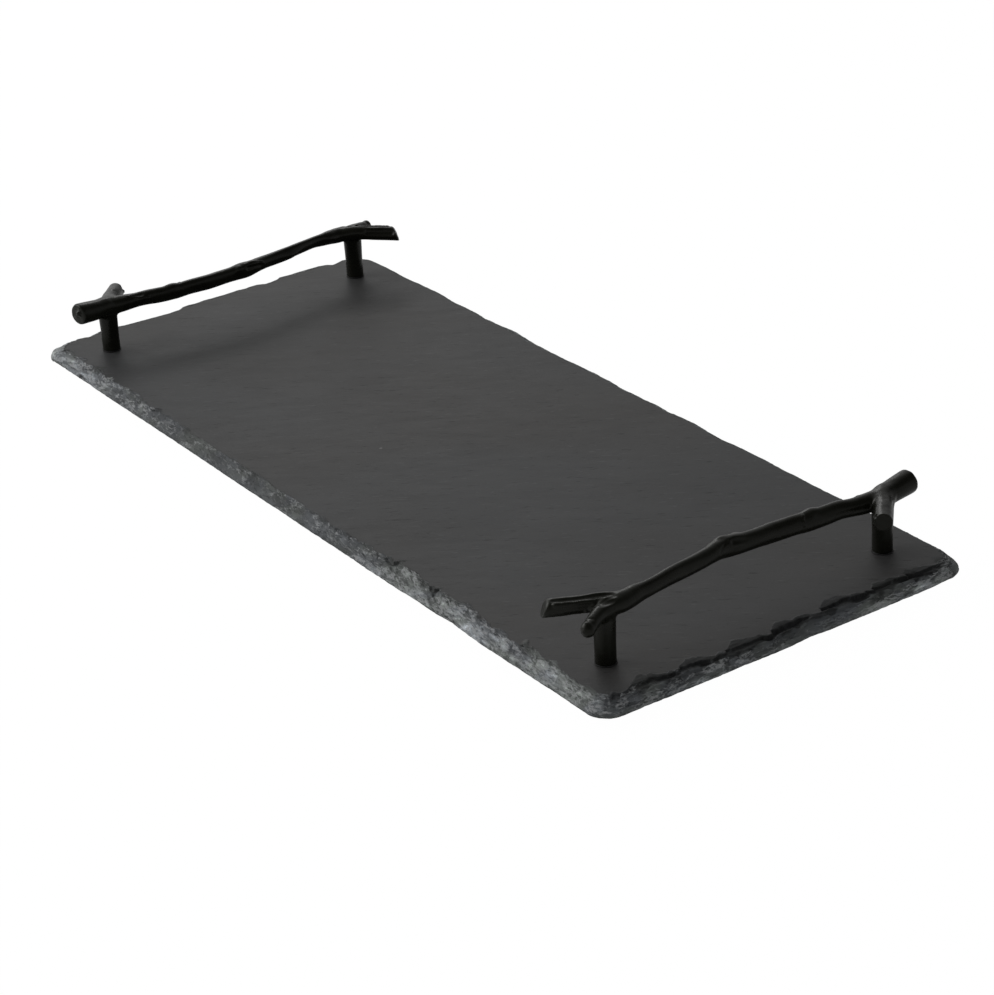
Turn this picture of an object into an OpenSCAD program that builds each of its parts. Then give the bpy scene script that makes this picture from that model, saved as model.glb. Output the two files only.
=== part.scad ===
// Slate serving board with two cast twig handles, screwed on from below
// The long side lies along X, and the near handle stands at the +X end
// The origin is the centre of the footprint, on the surface that the feet stand on

/* [Slate] */
// Length of the board over its lower edge
board_l = 500; // [480:1:640]
// Width of the board over its lower edge
board_w = 205; // [190:1:320]
// Thickness of the slate
board_t = 6.3; // [5:0.1:10]
// Run of the knapped edge, from the lower edge in to the upper rim
edge_run = 5.6; // [3:0.1:7]
// Deepest bite of a chip in the knapped edge
chip_depth = 2.2; // [0.4:0.1:2.6]
// Length of one step along the knapped edge
chip_step = 5; // [4:0.5:12]
// Corner radius of the lower edge at the +X -Y corner
front_corner_r = 10; // [4:1:30]
// Corner radius of the lower edge at the +X +Y corner
right_corner_r = 13; // [4:1:30]
// Corner radius of the lower edge at the -X +Y corner
back_corner_r = 18; // [4:1:30]
// Corner radius of the lower edge at the -X -Y corner
left_corner_r = 6; // [4:1:30]

/* [Handles] */
// Distance of the posts from the ends of the board
post_end_inset = 30.5; // [26:0.5:60]
// Distance of the posts from the long edges of the board
post_side_inset = 25; // [22:0.5:40]
// Diameter of a post
post_d = 9.4; // [8.4:0.1:11]
// Height of the twig's axis over the slate
twig_h = 26.5; // [24:0.5:40]
// Nominal thickness of the twig
twig_d = 8; // [7:0.1:10]
// How far the twig wanders sideways from the line of the posts
twig_sway = 8; // [3:0.5:12]
// Rounding of the cut ends of the twig
cut_round = 0.8; // [0.3:0.1:1.2]

/* [Fasteners] */
// Thread diameter of the machine screws
screw_d = 4; // [3:0.5:4]
// Length of a screw below its head
screw_l = 14; // [12:1:16]
// Head diameter of a screw
head_d = 8; // [7:0.1:9]
// Head height of a screw
head_h = 2.6; // [1.8:0.1:3]
// Width of the cross recess
recess_w = 1; // [0.6:0.1:1.2]
// Length of the cross recess
recess_l = 4.4; // [3:0.1:5]
// Depth of the cross recess
recess_t = 1.5; // [0.8:0.1:1.6]
// Outer diameter of the flat washers
washer_d = 9; // [8.5:0.1:12]
// Thickness of the flat washers
washer_t = 0.8; // [0.5:0.1:1]
// Thickness of the rubber gasket under each post
gasket_t = 0.6; // [0.4:0.1:1.5]
// How far the gasket stands out round the post
gasket_lip = 0.25; // [0.1:0.05:0.6]

/* [Feet] */
// Diameter of a foot where it meets the board
foot_d = 15; // [12:0.5:20]
// Diameter of a foot where it stands
foot_base_d = 11; // [8:0.5:12]
// Height of the rubber of a foot
foot_h = 4.6; // [4.4:0.1:9]
// Thickness of the adhesive disc over a foot
pad_t = 0.4; // [0.2:0.1:1]
// Distance of a foot from the nearest screw, towards the middle of the board
foot_inset = 25; // [16:1:60]
// Distance of the feet from the long edges of the board
foot_side_inset = 25; // [22:1:40]

/* [Clearances] */
// Radial clearance of a screw in the slate
slate_hole_gap = 0.5; // [0.2:0.1:1]
// Radial clearance of a screw in a washer or gasket
washer_gap = 0.2; // [0.1:0.05:0.4]
// Radial clearance of a screw in its tapped hole
thread_gap = 0.05; // [0.02:0.01:0.1]
// Room left at the bottom of a tapped hole
hole_end_gap = 1.5; // [1:0.5:4]

/* [Hidden] */

// One overrun for every cut
overrun = 0.5;
// Facets of the exact round parts
$fn = 48;

// Distance between the two post centres of a handle, and between the two handles
post_pitch = board_w - 2 * post_side_inset;
handle_span = board_l - 2 * post_end_inset;

// Levels, from the table up
under_z = foot_h + pad_t;
top_z = under_z + board_t;
head_z = under_z - washer_t;

// Screw engagement and tapped hole
grip_t = washer_t + board_t + gasket_t;
hole_depth = screw_l - grip_t + hole_end_gap;
screw_tip = 0.5;
head_edge = 0.9;

// Knapped edge: height share, run share and bite share of each layer, from below
edge_layer_shares = [[0, 1, 0], [0.2, 0.96, 0.1], [0.5, 0.68, 0.55], [0.78, 0.36, 0.8], [1, 0.05, 1]];
// Width of the chips of each layer, in steps along the edge
chip_counts = [4, 3, 4, 3, 5];
chip_seeds = [11, 23, 37, 41, 59];
// Angle of a corner, and the steps round it
quarter = 90;
corner_steps = 4;
// Least radius that stays at a corner of the upper rim
corner_left = 0.6;

// Twig: sides of its section, and steps from one chosen point to the next
twig_sides = 12;
stem_steps = 2;
branch_steps = 3;

// Stem from its thick cut end to its thin tip: shares of half the post pitch along, of the sway sideways,
// of the height, and of the nominal thickness
stem_shares = [
    [1.247, -0.64, 0.995, 1.38],
    [1.117, -0.44, 0.977, 1.32],
    [0.993, -0.20, 0.958, 1.22],
    [0.881, -0.30, 0.960, 1.06],
    [0.770, -0.48, 0.970, 0.93],
    [0.645, -0.70, 0.970, 0.96],
    [0.540, -0.80, 0.963, 1.05],
    [0.410, -0.87, 0.970, 0.97],
    [0.261, -0.95, 0.977, 0.97],
    [0.099, -0.91, 0.985, 0.93],
    [-0.050, -1.07, 1.015, 1.07],
    [-0.155, -0.94, 1.030, 0.93],
    [-0.261, -0.70, 1.012, 0.82],
    [-0.434, -0.45, 1.012, 0.82],
    [-0.596, -0.18, 1.028, 0.73],
    [-0.701, 0.02, 1.025, 0.73],
    [-0.807, 0.14, 1.010, 0.88],
    [-0.906, 0.12, 1.010, 1.03],
    [-0.981, 0.08, 1.018, 1.10],
    [-1.074, 0.38, 0.985, 0.94],
    [-1.136, 0.70, 0.935, 0.86],
    [-1.179, 0.98, 0.880, 0.80]];
// Side branch over the board, from inside the stem to its cut end, in the same shares
inner_branch_shares = [
    [-0.869, 0.05, 1.005, 0.85],
    [-0.981, -0.45, 1.010, 0.98],
    [-1.099, -1.15, 0.985, 0.98],
    [-1.247, -2.15, 0.945, 1.00]];
// Side stub away from the board, from inside the stem to its cut end, in the same shares
outer_stub_shares = [
    [1.018, -0.05, 0.955, 0.90],
    [0.950, 0.65, 0.962, 1.12],
    [0.881, 1.35, 0.958, 1.12],
    [0.809, 2.08, 0.948, 1.08]];
// Neck of a post where it blends into the stem: share of the height and share of the radius
neck_shares = [[0.80, 1.00], [0.86, 0.96], [0.92, 0.80], [0.97, 0.55]];
// Foot: share of the height and share of the spread from its base to its top
foot_shares = [[0, 0], [0.10, 0.28], [0.30, 0.50], [0.60, 0.75], [0.88, 0.94], [1, 1]];

// The corners in turn: signs of the corner, radius of the lower edge and first angle of the arc
board_corners = [
    [1, -1, front_corner_r, -quarter],
    [1, 1, right_corner_r, 0],
    [-1, 1, back_corner_r, quarter],
    [-1, -1, left_corner_r, 2 * quarter]];

function turn(angle) = [cos(angle), sin(angle)];

// Radius of a corner on an outline that is drawn in by inset
function corner_r(k, inset) = max(board_corners[k][2] - inset, inset > 0 ? chip_depth + corner_left : 0);

function corner_centre(k, inset) = [
    board_corners[k][0] * (board_l / 2 - inset - corner_r(k, inset)),
    board_corners[k][1] * (board_w / 2 - inset - corner_r(k, inset))];

function arc_point(k, i, inset) =
    corner_centre(k, inset) + corner_r(k, inset) * turn(board_corners[k][3] + quarter * i / corner_steps);

// Steps from one corner to the next, the same on each outline
function run_steps(k) =
    let (run = corner_centre((k + 1) % 4, edge_run) - corner_centre(k, edge_run))
        max(2, round(norm(run) / chip_step));

// The outline of the board, drawn in by inset: round each corner, then along the side to the next
function outline(inset) = [
    for (k = [0 : 3]) each concat(
        [for (i = [0 : corner_steps]) arc_point(k, i, inset)],
        let (from = arc_point(k, corner_steps, inset))
        let (to = arc_point((k + 1) % 4, 0, inset))
            [for (i = [1 : run_steps(k) - 1]) from + (to - from) * i / run_steps(k)])];

low_outline = outline(0);
rim_outline = outline(edge_run);
edge_count = len(rim_outline);

// One layer of the knapped edge: each chip is a scallop, deepest in its middle
function edge_ring(layer) =
    let (shares = edge_layer_shares[layer])
    let (strength_shares = rands(0.15, 1, edge_count, chip_seeds[layer]))
    let (width = chip_counts[layer])
        [for (i = [0 : edge_count - 1])
            let (at = (i % width) / width)
            let (bite_share = shares[2] * strength_shares[floor(i / width)] * (1 - pow(2 * at - 1, 2)))
            let (run = low_outline[i] - rim_outline[i])
                concat(rim_outline[i] + run * shares[1] - chip_depth * bite_share * run / norm(run),
                    under_z + board_t * shares[0])];

module slate_body() {
    layers = len(edge_layer_shares);
    count = edge_count;
    rings = [for (layer = [0 : layers - 1]) each edge_ring(layer)];
    points = concat(rings, [[0, 0, under_z], [0, 0, top_z]]);
    low_centre = layers * count;
    high_centre = low_centre + 1;
    high_ring = (layers - 1) * count;
    sides = [
        for (layer = [0 : layers - 2])
            for (i = [0 : count - 1])
                let (j = (i + 1) % count)
                let (a = layer * count + i)
                let (b = layer * count + j)
                    each [[a, a + count, b + count], [a, b + count, b]]];
    low_cap = [for (i = [0 : count - 1]) [low_centre, i, (i + 1) % count]];
    high_cap = [for (i = [0 : count - 1]) [high_centre, high_ring + (i + 1) % count, high_ring + i]];
    polyhedron(points, concat(sides, low_cap, high_cap));
}

module slate_board() {
    color([0.24, 0.24, 0.24])
        difference() {
            slate_body();
            for (side_x = [-1, 1])
                for (side_y = [-1, 1])
                    translate([side_x * handle_span / 2, side_y * post_pitch / 2, under_z - overrun])
                        cylinder(r = screw_d / 2 + slate_hole_gap, h = board_t + 2 * overrun);
        }
}

// A point of the twig in the handle's own frame: X away from the board's middle, Y along, Z over the slate
function twig_point(shares) = [
    twig_sway * shares[1],
    post_pitch / 2 * shares[0],
    twig_h * shares[2],
    twig_d / 2 * shares[3]];

// Smooth curve through the chosen points, with the radius as its fourth value
function blend_points(a, b, c, d, t) =
    0.5 * (2 * b + (c - a) * t + (2 * a - 5 * b + 4 * c - d) * t * t + (3 * b - a - 3 * c + d) * t * t * t);

function smooth_path(points, steps) =
    let (last = len(points) - 1)
        concat(
            [for (k = [0 : last - 1])
                let (before = points[max(k - 1, 0)])
                let (after = points[min(k + 2, last)])
                    for (i = [0 : steps - 1])
                        blend_points(before, points[k], points[k + 1], after, i / steps)],
            [points[last]]);

function place(p) = [p[0], p[1], p[2]];

function unit(v) = v / norm(v);

// One ring of the twig's skin, square to the path
function twig_ring(centre, way, r) =
    let (side = unit(cross(way, [0, 0, 1])))
    let (up = cross(side, way))
        [for (i = [0 : twig_sides - 1])
            let (angle = 360 * i / twig_sides)
                centre + r * (cos(angle) * side + sin(angle) * up)];

// Skin along a path, with both ends cut square and their rims rounded
module twig_length(points, steps) {
    path = smooth_path(points, steps);
    last = len(path) - 1;
    ways = [for (k = [0 : last]) unit(place(path[min(k + 1, last)]) - place(path[max(k - 1, 0)]))];
    low_centre = place(path[0]);
    high_centre = place(path[last]);
    rings = concat(
        twig_ring(low_centre, ways[0], path[0][3] - cut_round),
        twig_ring(low_centre + cut_round * ways[0], ways[0], path[0][3]),
        [for (k = [1 : last - 1]) each twig_ring(place(path[k]), ways[k], path[k][3])],
        twig_ring(high_centre - cut_round * ways[last], ways[last], path[last][3]),
        twig_ring(high_centre, ways[last], path[last][3] - cut_round));
    count = len(rings) / twig_sides;
    low = len(rings);
    high = low + 1;
    high_ring = (count - 1) * twig_sides;
    sides = [
        for (k = [0 : count - 2])
            for (i = [0 : twig_sides - 1])
                let (j = (i + 1) % twig_sides)
                let (a = k * twig_sides + i)
                let (d = k * twig_sides + j)
                    each [[a, d, d + twig_sides], [a, d + twig_sides, a + twig_sides]]];
    low_cap = [for (i = [0 : twig_sides - 1]) [low, (i + 1) % twig_sides, i]];
    high_cap = [for (i = [0 : twig_sides - 1]) [high, high_ring + i, high_ring + (i + 1) % twig_sides]];
    polyhedron(concat(rings, [low_centre, high_centre]), concat(sides, low_cap, high_cap));
}

// Round post with a neck that narrows into the twig
module post() {
    post_r = post_d / 2;
    neck = [for (s = neck_shares) [post_r * s[1], twig_h * s[0]]];
    rotate_extrude()
        polygon(concat([[0, gasket_t], [post_r, gasket_t]], neck, [[0, neck[len(neck) - 1][1]]]));
}

module tapped_hole() {
    hole_r = screw_d / 2 + thread_gap;
    translate([0, 0, gasket_t - overrun])
        cylinder(r = hole_r, h = hole_depth + overrun);
    translate([0, 0, gasket_t + hole_depth])
        cylinder(r1 = hole_r, r2 = 0, h = hole_r / 2);
}

// One casting: the twig, its two side branches and its two posts
module twig_handle() {
    color([0.09, 0.09, 0.09])
        difference() {
            union() {
                twig_length([for (s = stem_shares) twig_point(s)], stem_steps);
                twig_length([for (s = inner_branch_shares) twig_point(s)], branch_steps);
                twig_length([for (s = outer_stub_shares) twig_point(s)], branch_steps);
                for (side_y = [-1, 1])
                    translate([0, side_y * post_pitch / 2, 0])
                        post();
            }
            for (side_y = [-1, 1])
                translate([0, side_y * post_pitch / 2, 0])
                    tapped_hole();
        }
}

module near_handle() {
    translate([handle_span / 2, 0, top_z])
        twig_handle();
}

module far_handle() {
    translate([-handle_span / 2, 0, top_z])
        rotate([0, 0, 180])
            twig_handle();
}

// Moves a piece to one of the four posts
module at_post(side_x, side_y, z) {
    translate([side_x * handle_span / 2, side_y * post_pitch / 2, z])
        children();
}

// Flat ring with the screw's clearance
module flat_ring(outer_r, inner_r, t) {
    difference() {
        cylinder(r = outer_r, h = t);
        translate([0, 0, -overrun])
            cylinder(r = inner_r, h = t + 2 * overrun);
    }
}

module gasket(side_x, side_y) {
    color([0.05, 0.05, 0.05])
        at_post(side_x, side_y, top_z)
            flat_ring(post_d / 2 + gasket_lip, screw_d / 2 + washer_gap, gasket_t);
}

module washer(side_x, side_y) {
    color([0.72, 0.73, 0.74])
        at_post(side_x, side_y, head_z)
            flat_ring(washer_d / 2, screw_d / 2 + washer_gap, washer_t);
}

// Pan head screw, head down, with a cross recess
module screw(side_x, side_y) {
    head_r = head_d / 2;
    screw_r = screw_d / 2;
    color([0.66, 0.67, 0.68])
        at_post(side_x, side_y, head_z)
            difference() {
                rotate_extrude()
                    polygon([
                        [0, -head_h],
                        [head_r - head_edge, -head_h],
                        [head_r - head_edge / 3, -head_h + head_edge / 3],
                        [head_r, -head_h + head_edge],
                        [head_r, 0],
                        [screw_r, 0],
                        [screw_r, screw_l - screw_tip],
                        [screw_r - screw_tip, screw_l],
                        [0, screw_l]]);
                for (angle = [0, 90])
                    rotate([0, 0, angle])
                        translate([-recess_l / 2, -recess_w / 2, -head_h - overrun])
                            cube([recess_l, recess_w, recess_t + overrun]);
            }
}

// Moves a piece to one of the four feet
module at_foot(side_x, side_y, z) {
    translate([side_x * (handle_span / 2 - foot_inset), side_y * (board_w / 2 - foot_side_inset), z])
        children();
}

module foot(side_x, side_y) {
    spread = (foot_d - foot_base_d) / 2;
    color([0.07, 0.07, 0.07])
        at_foot(side_x, side_y, 0)
            rotate_extrude()
                polygon(concat(
                    [[0, 0]],
                    [for (s = foot_shares) [foot_base_d / 2 + spread * s[1], foot_h * s[0]]],
                    [[0, foot_h]]));
}

module foot_pad(side_x, side_y) {
    color([0.85, 0.85, 0.83])
        at_foot(side_x, side_y, foot_h)
            cylinder(d = foot_d, h = pad_t);
}

module near_left_gasket() gasket(1, -1);
module near_right_gasket() gasket(1, 1);
module far_left_gasket() gasket(-1, -1);
module far_right_gasket() gasket(-1, 1);
module near_left_washer() washer(1, -1);
module near_right_washer() washer(1, 1);
module far_left_washer() washer(-1, -1);
module far_right_washer() washer(-1, 1);
module near_left_screw() screw(1, -1);
module near_right_screw() screw(1, 1);
module far_left_screw() screw(-1, -1);
module far_right_screw() screw(-1, 1);
module near_left_foot() foot(1, -1);
module near_right_foot() foot(1, 1);
module far_left_foot() foot(-1, -1);
module far_right_foot() foot(-1, 1);
module near_left_foot_pad() foot_pad(1, -1);
module near_right_foot_pad() foot_pad(1, 1);
module far_left_foot_pad() foot_pad(-1, -1);
module far_right_foot_pad() foot_pad(-1, 1);

slate_board();
near_handle();
far_handle();
near_left_gasket();
near_right_gasket();
far_left_gasket();
far_right_gasket();
near_left_washer();
near_right_washer();
far_left_washer();
far_right_washer();
near_left_screw();
near_right_screw();
far_left_screw();
far_right_screw();
near_left_foot();
near_right_foot();
far_left_foot();
far_right_foot();
near_left_foot_pad();
near_right_foot_pad();
far_left_foot_pad();
far_right_foot_pad();
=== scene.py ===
import math

import bpy
import bmesh
import numpy as np
from mathutils import Matrix, Vector
from mathutils.geometry import delaunay_2d_cdt


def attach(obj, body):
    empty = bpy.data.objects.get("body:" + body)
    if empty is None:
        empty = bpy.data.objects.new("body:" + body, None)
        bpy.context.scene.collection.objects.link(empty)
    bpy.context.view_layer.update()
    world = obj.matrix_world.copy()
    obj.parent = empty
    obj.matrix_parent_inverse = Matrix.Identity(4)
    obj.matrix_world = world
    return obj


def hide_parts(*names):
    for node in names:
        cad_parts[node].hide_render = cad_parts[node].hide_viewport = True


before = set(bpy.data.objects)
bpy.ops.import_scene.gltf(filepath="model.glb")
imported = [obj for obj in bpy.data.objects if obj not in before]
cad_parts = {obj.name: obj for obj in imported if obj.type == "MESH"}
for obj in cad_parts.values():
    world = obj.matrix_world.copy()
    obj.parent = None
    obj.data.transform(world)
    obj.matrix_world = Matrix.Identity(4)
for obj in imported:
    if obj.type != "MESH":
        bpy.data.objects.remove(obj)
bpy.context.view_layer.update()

# Slate serving board with two cast twig handles
# Sizes are in millimetres in the row frame, and turn into metres when a mesh is made
MM = 0.001

# Sizes shared with the CAD
BOARD_L = 500.0
BOARD_W = 205.0
BOARD_T = 6.3
UNDER_Z = 5.0
TOP_Z = UNDER_Z + BOARD_T
POST_X = 219.5
POST_Y = 77.5
POST_R = 4.7
FOOT_X = 194.5
GASKET_T = 0.6
GASKET_R = 4.95
WASHER_T = 0.8
WASHER_R = 4.5
SCREW_R = 2.0
SCREW_L = 14.0
SCREW_GAP = 0.2
HEAD_R = 4.0
HEAD_H = 2.6
HEAD_Z = UNDER_Z - WASHER_T
RECESS_L = 4.4
RECESS_W = 1.0
RECESS_T = 1.5
SLATE_HOLE_R = 2.5
BORE_R = 2.05
BORE_DEPTH = 7.8
FOOT_R = 7.5
FOOT_BASE_R = 5.5
FOOT_H = 4.6
PAD_T = 0.4
# Places of the posts with their screws, and of the feet
SIDES = [(side_x, side_y) for side_x in (-1, 1) for side_y in (-1, 1)]
POSTS = [(side_x * POST_X, side_y * POST_Y) for side_x, side_y in SIDES]
FEET = [(side_x * FOOT_X, side_y * POST_Y) for side_x, side_y in SIDES]


# Mesh and noise helpers

def link_object(name, data):
    obj = bpy.data.objects.new(name, data)
    bpy.context.scene.collection.objects.link(obj)
    return obj


def new_object(name, points, faces):
    """A smooth mesh object from points in millimetres."""
    mesh = bpy.data.meshes.new(name)
    mesh.from_pydata((np.asarray(points, float) * MM).tolist(), [], faces)
    mesh.update()
    mesh.polygons.foreach_set("use_smooth", [True] * len(mesh.polygons))
    return link_object(name, mesh)


def face_out(obj):
    """Turns every face of a closed mesh outwards."""
    bm = bmesh.new()
    bm.from_mesh(obj.data)
    bmesh.ops.recalc_face_normals(bm, faces=bm.faces)
    bm.to_mesh(obj.data)
    bm.free()
    return obj


def applied_mesh(obj):
    """The object's mesh as its modifiers leave it."""
    bpy.context.view_layer.update()
    evaluated = obj.evaluated_get(bpy.context.evaluated_depsgraph_get())
    return bpy.data.meshes.new_from_object(evaluated)


def fade(t):
    t = np.clip(t, 0, 1)
    return t * t * (3 - 2 * t)


NOISE_2D = 1024
NOISE_3D = 48


def noise2(x, y, seed):
    """Smooth noise from -1 to 1 on a unit lattice."""
    table = np.random.RandomState(seed).uniform(-1, 1, (NOISE_2D, NOISE_2D))
    xi, yi = np.floor(x).astype(int), np.floor(y).astype(int)
    fx, fy = fade(x - xi), fade(y - yi)
    x0, x1 = xi % NOISE_2D, (xi + 1) % NOISE_2D
    y0, y1 = yi % NOISE_2D, (yi + 1) % NOISE_2D
    low = table[x0, y0] * (1 - fx) + table[x1, y0] * fx
    high = table[x0, y1] * (1 - fx) + table[x1, y1] * fx
    return low * (1 - fy) + high * fy


def noise3(p, seed):
    """Smooth noise from -1 to 1 at points of a unit lattice in space."""
    table = np.random.RandomState(seed).uniform(-1, 1, (NOISE_3D,) * 3)
    cell = np.floor(p).astype(int)
    f = fade(p - cell)
    corners = cell % NOISE_3D, (cell + 1) % NOISE_3D
    total = np.zeros(len(p))
    for way in np.ndindex(2, 2, 2):
        weight = 1.0
        for axis, d in enumerate(way):
            weight = weight * (f[:, axis] if d else 1 - f[:, axis])
        x, y, z = (corners[d][:, axis] for axis, d in enumerate(way))
        total += weight * table[x, y, z]
    return total


def circle(r, z, steps):
    """Points of a level circle about Z."""
    return [(r * math.cos(a), r * math.sin(a), z) for a in 2 * math.pi * np.arange(steps) / steps]


def ring_faces(a, b, n):
    """Quads between two rings of n points that start at a and b."""
    return [(a + i, a + (i + 1) % n, b + (i + 1) % n, b + i) for i in range(n)]


def revolve(profile, steps, closed=False):
    """Points and faces of (radius, height) pairs turned about Z, from axis to axis or as a closed loop."""
    points, faces, rows = [], [], []
    for r, z in profile:
        row = circle(r, z, steps) if r else [(0, 0, z)]
        rows.append(range(len(points), len(points) + len(row)))
        points += row
    for a, b in zip(rows, rows[1:] + rows[:1] if closed else rows[1:]):
        for i in range(steps):
            j = (i + 1) % steps
            corners = a[i % len(a)], b[i % len(b)], b[j % len(b)], a[j % len(a)]
            faces.append(tuple(dict.fromkeys(corners)))
    return np.array(points, float), faces


# Slate: outline of the lower edge, with one corner radius each
CORNERS = [(1, -1, 10.0), (1, 1, 13.0), (-1, 1, 18.0), (-1, -1, 11.0)]
SIDE_POINTS = [690, 274, 690, 274]
CORNER_POINTS = 30
RIM_CORNER_R = 6.0
RIM_CORNER_INSET = 14.0


def outline(inset):
    """One ring of points round the board at an inset from its lower edge."""
    share = min(inset / RIM_CORNER_INSET, 1)
    half_l, half_w = BOARD_L / 2 - inset, BOARD_W / 2 - inset
    arcs = []
    for k, (side_x, side_y, low_r) in enumerate(CORNERS):
        r = low_r * (1 - share) + RIM_CORNER_R * share
        centre = np.array([side_x * (half_l - r), side_y * (half_w - r)])
        a = math.pi / 2 * (k - 1) + math.pi / 2 * np.arange(CORNER_POINTS + 1) / CORNER_POINTS
        arcs.append(centre + r * np.stack([np.cos(a), np.sin(a)], 1))
    points = []
    for k, n in enumerate(SIDE_POINTS):
        t = np.arange(n)[:, None] / n
        points += [arcs[k - 1][-1] * (1 - t) + arcs[k][0] * t, arcs[k][:-1]]
    return np.concatenate(points)


def track_of(ring):
    """The track of each outline point: 0 to 1 along -Y, to 2 along +X, to 3 along +Y and to 4 along -X."""
    x, y = ring[:, 0] / BOARD_L + 0.5, ring[:, 1] / BOARD_W + 0.5
    along = [x, 1 + y, 3 - x, 4 - y]
    track = []
    first = 0
    for k, n in enumerate(SIDE_POINTS):
        middle, end = first + n + CORNER_POINTS // 2, first + n + CORNER_POINTS
        track.append(along[k][first:middle])
        track.append(along[(k + 1) % 4][middle:end] + (4 if k == 3 else 0))
        first = end
    return np.maximum.accumulate(np.concatenate(track))


def at_track(track, table, column=1, **ends):
    """A column of a table, whose first column is the track, between its rows."""
    return np.interp(track, table[:, 0], table[:, column], **ends)


# Zones of the knapped edge, the last as the first: track, run share, roughness, terraces, fresh light flakes,
# ledge under the rim, tone of the stone at the lower edge and at the rim, contrast between flakes
# On the near short side, tracks 1 to 2, the tone at the lower edge is set lighter to stand in for lamp light
# that does not reach that side, which is painted light, and the tone at the rim is painted shade under the
# rim
ZONES = np.array([
    [0, 1.05, 1, 0.75, 1, 0, 0.13, 0.038, 0.6],
    [0.12, 1.1, 0.9, 0.7, 0.95, 0, 0.095, 0.036, 0.55],
    [0.19, 1.1, 0.6, 0.6, 0.6, 0.1, 0.068, 0.048, 0.42],
    [0.3, 1.05, 0.45, 0.4, 0.4, 0, 0.062, 0.048, 0.32],
    [0.5, 1.1, 0.45, 0.4, 0.35, 0, 0.062, 0.046, 0.32],
    [0.6, 1.15, 0.6, 0.55, 0.6, 0.1, 0.078, 0.046, 0.42],
    [0.7, 1.2, 0.8, 0.65, 0.85, 0.2, 0.09, 0.05, 0.54],
    [0.8, 1.25, 0.9, 0.8, 1, 0.1, 0.115, 0.038, 0.6],
    [0.93, 1.25, 0.9, 0.8, 1, 0.1, 0.085, 0.095, 0.6],
    [1.03, 1.05, 0.7, 0.7, 0.55, 0.4, 0.07, 0.036, 0.42],
    [1.12, 1.1, 0.85, 0.75, 0.7, 0.9, 0.075, 0.024, 0.55],
    [1.31, 1.1, 0.9, 0.75, 0.75, 1, 0.08, 0.024, 0.6],
    [1.4, 1.15, 0.7, 0.65, 0.4, 1, 0.085, 0.024, 0.42],
    [1.5, 1.2, 0.6, 0.6, 0.25, 1, 0.09, 0.018, 0.28],
    [1.62, 1.2, 0.6, 0.6, 0.25, 1, 0.09, 0.016, 0.28],
    [1.7, 1.15, 0.9, 0.8, 0.85, 1, 0.1, 0.018, 0.6],
    [1.88, 1.05, 0.9, 0.75, 0.75, 1, 0.115, 0.018, 0.62],
    [1.97, 0.95, 0.6, 0.6, 0.25, 0.6, 0.08, 0.04, 0.45],
    [2.05, 0.95, 0.25, 0.5, 0.3, 0, 0.065, 0.048, 0.35],
    [2.6, 1, 0.3, 0.6, 0.45, 0, 0.07, 0.048, 0.4],
    [2.95, 0.95, 0.2, 0.6, 0.4, 0, 0.065, 0.048, 0.35],
    [3.1, 0.95, 0.2, 0.6, 0.4, 0, 0.065, 0.048, 0.35],
    [3.78, 0.95, 0.25, 0.65, 0.5, 0, 0.07, 0.048, 0.4],
    [3.86, 1.45, 0.6, 0.7, 0.7, 0, 0.09, 0.055, 0.5],
    [4, 1.05, 1, 0.75, 1, 0, 0.13, 0.038, 0.6],
])

# Outward shifts of the outline: track, shift
OUTLINE_SHIFTS = np.array([
    [0, 0.9], [0.03, 0.4], [0.1, 0.4], [0.28, 0.4], [0.5, 0.5], [0.7, 0.5], [0.74, 0.1], [0.76, 0.2],
    [0.78, -0.4], [0.8, 0.2], [0.83, 0.6], [0.87, 0.5], [0.88, 0], [0.9, 0.5], [0.95, 0.1], [1, 0],
    [1.1, 0.5], [1.35, 0.7], [1.46, 1.2], [1.51, 0.8], [1.545, 0.1], [1.58, 0.8], [1.66, 0.8], [1.86, 0.9],
    [1.94, 0.5], [2, 0], [2.1, 0.2], [2.3, 0.4], [2.6, 0.4], [3.05, 0.2], [3.35, 0.2], [3.62, 0.3],
    [3.9, 0.5], [4, 0.9],
])

# Notches of the rim on the two back sides: track, how far the rim stands in
RIM_SHIFTS = np.array([
    [2.1, 0], [2.16, 0.7], [2.18, 0.9], [2.26, 0.7], [2.3, 0.1], [2.32, 0.4], [2.34, 2.2], [2.36, 1.2],
    [2.38, 0.2], [2.4, 0.1], [2.42, 2.1], [2.44, 0.1], [2.47, 1.2], [2.5, 2.8], [2.52, 0], [2.58, 0.9],
    [2.6, 1.8], [2.62, 1.7], [2.66, 1.9], [2.67, 0], [2.68, -1], [2.7, -0.6], [2.72, 0.3], [2.74, 1.3],
    [2.76, 0.7], [2.78, 0.4], [2.8, 0.7], [2.82, -0.6], [2.84, 0], [2.9, 0.7], [2.94, 0.4], [2.98, 1],
    [3.08, 0.6], [3.12, 3], [3.135, 0.2], [3.16, -1.5], [3.22, -1.5], [3.26, -1.2], [3.285, -1.8],
    [3.3, 0.4], [3.32, 1.5], [3.34, 2], [3.36, -0.4], [3.38, -0.7], [3.4, -0.1], [3.42, -0.5], [3.48, 0.2],
    [3.53, -0.8], [3.56, 0], [3.58, -0.8], [3.6, -0.4], [3.62, 2], [3.68, 2.3], [3.74, 1.6], [3.78, 1.4],
    [3.81, -0.5], [3.84, -3.2], [3.86, -2.2], [3.88, -0.4], [3.9, 1.5], [3.93, 0],
])

# Scars at the rim of the long front side, dark from the painted shade of their ledge: track, half width,
# share of the ledge's depth
RIM_SCARS = [
    (0.09, 0.012, 0.5), (0.228, 0.009, 0.7), (0.292, 0.01, 0.6), (0.673, 0.014, 0.8), (0.742, 0.009, 0.7),
    (0.885, 0.014, 0.7), (1.035, 0.02, 0.8),
]

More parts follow.
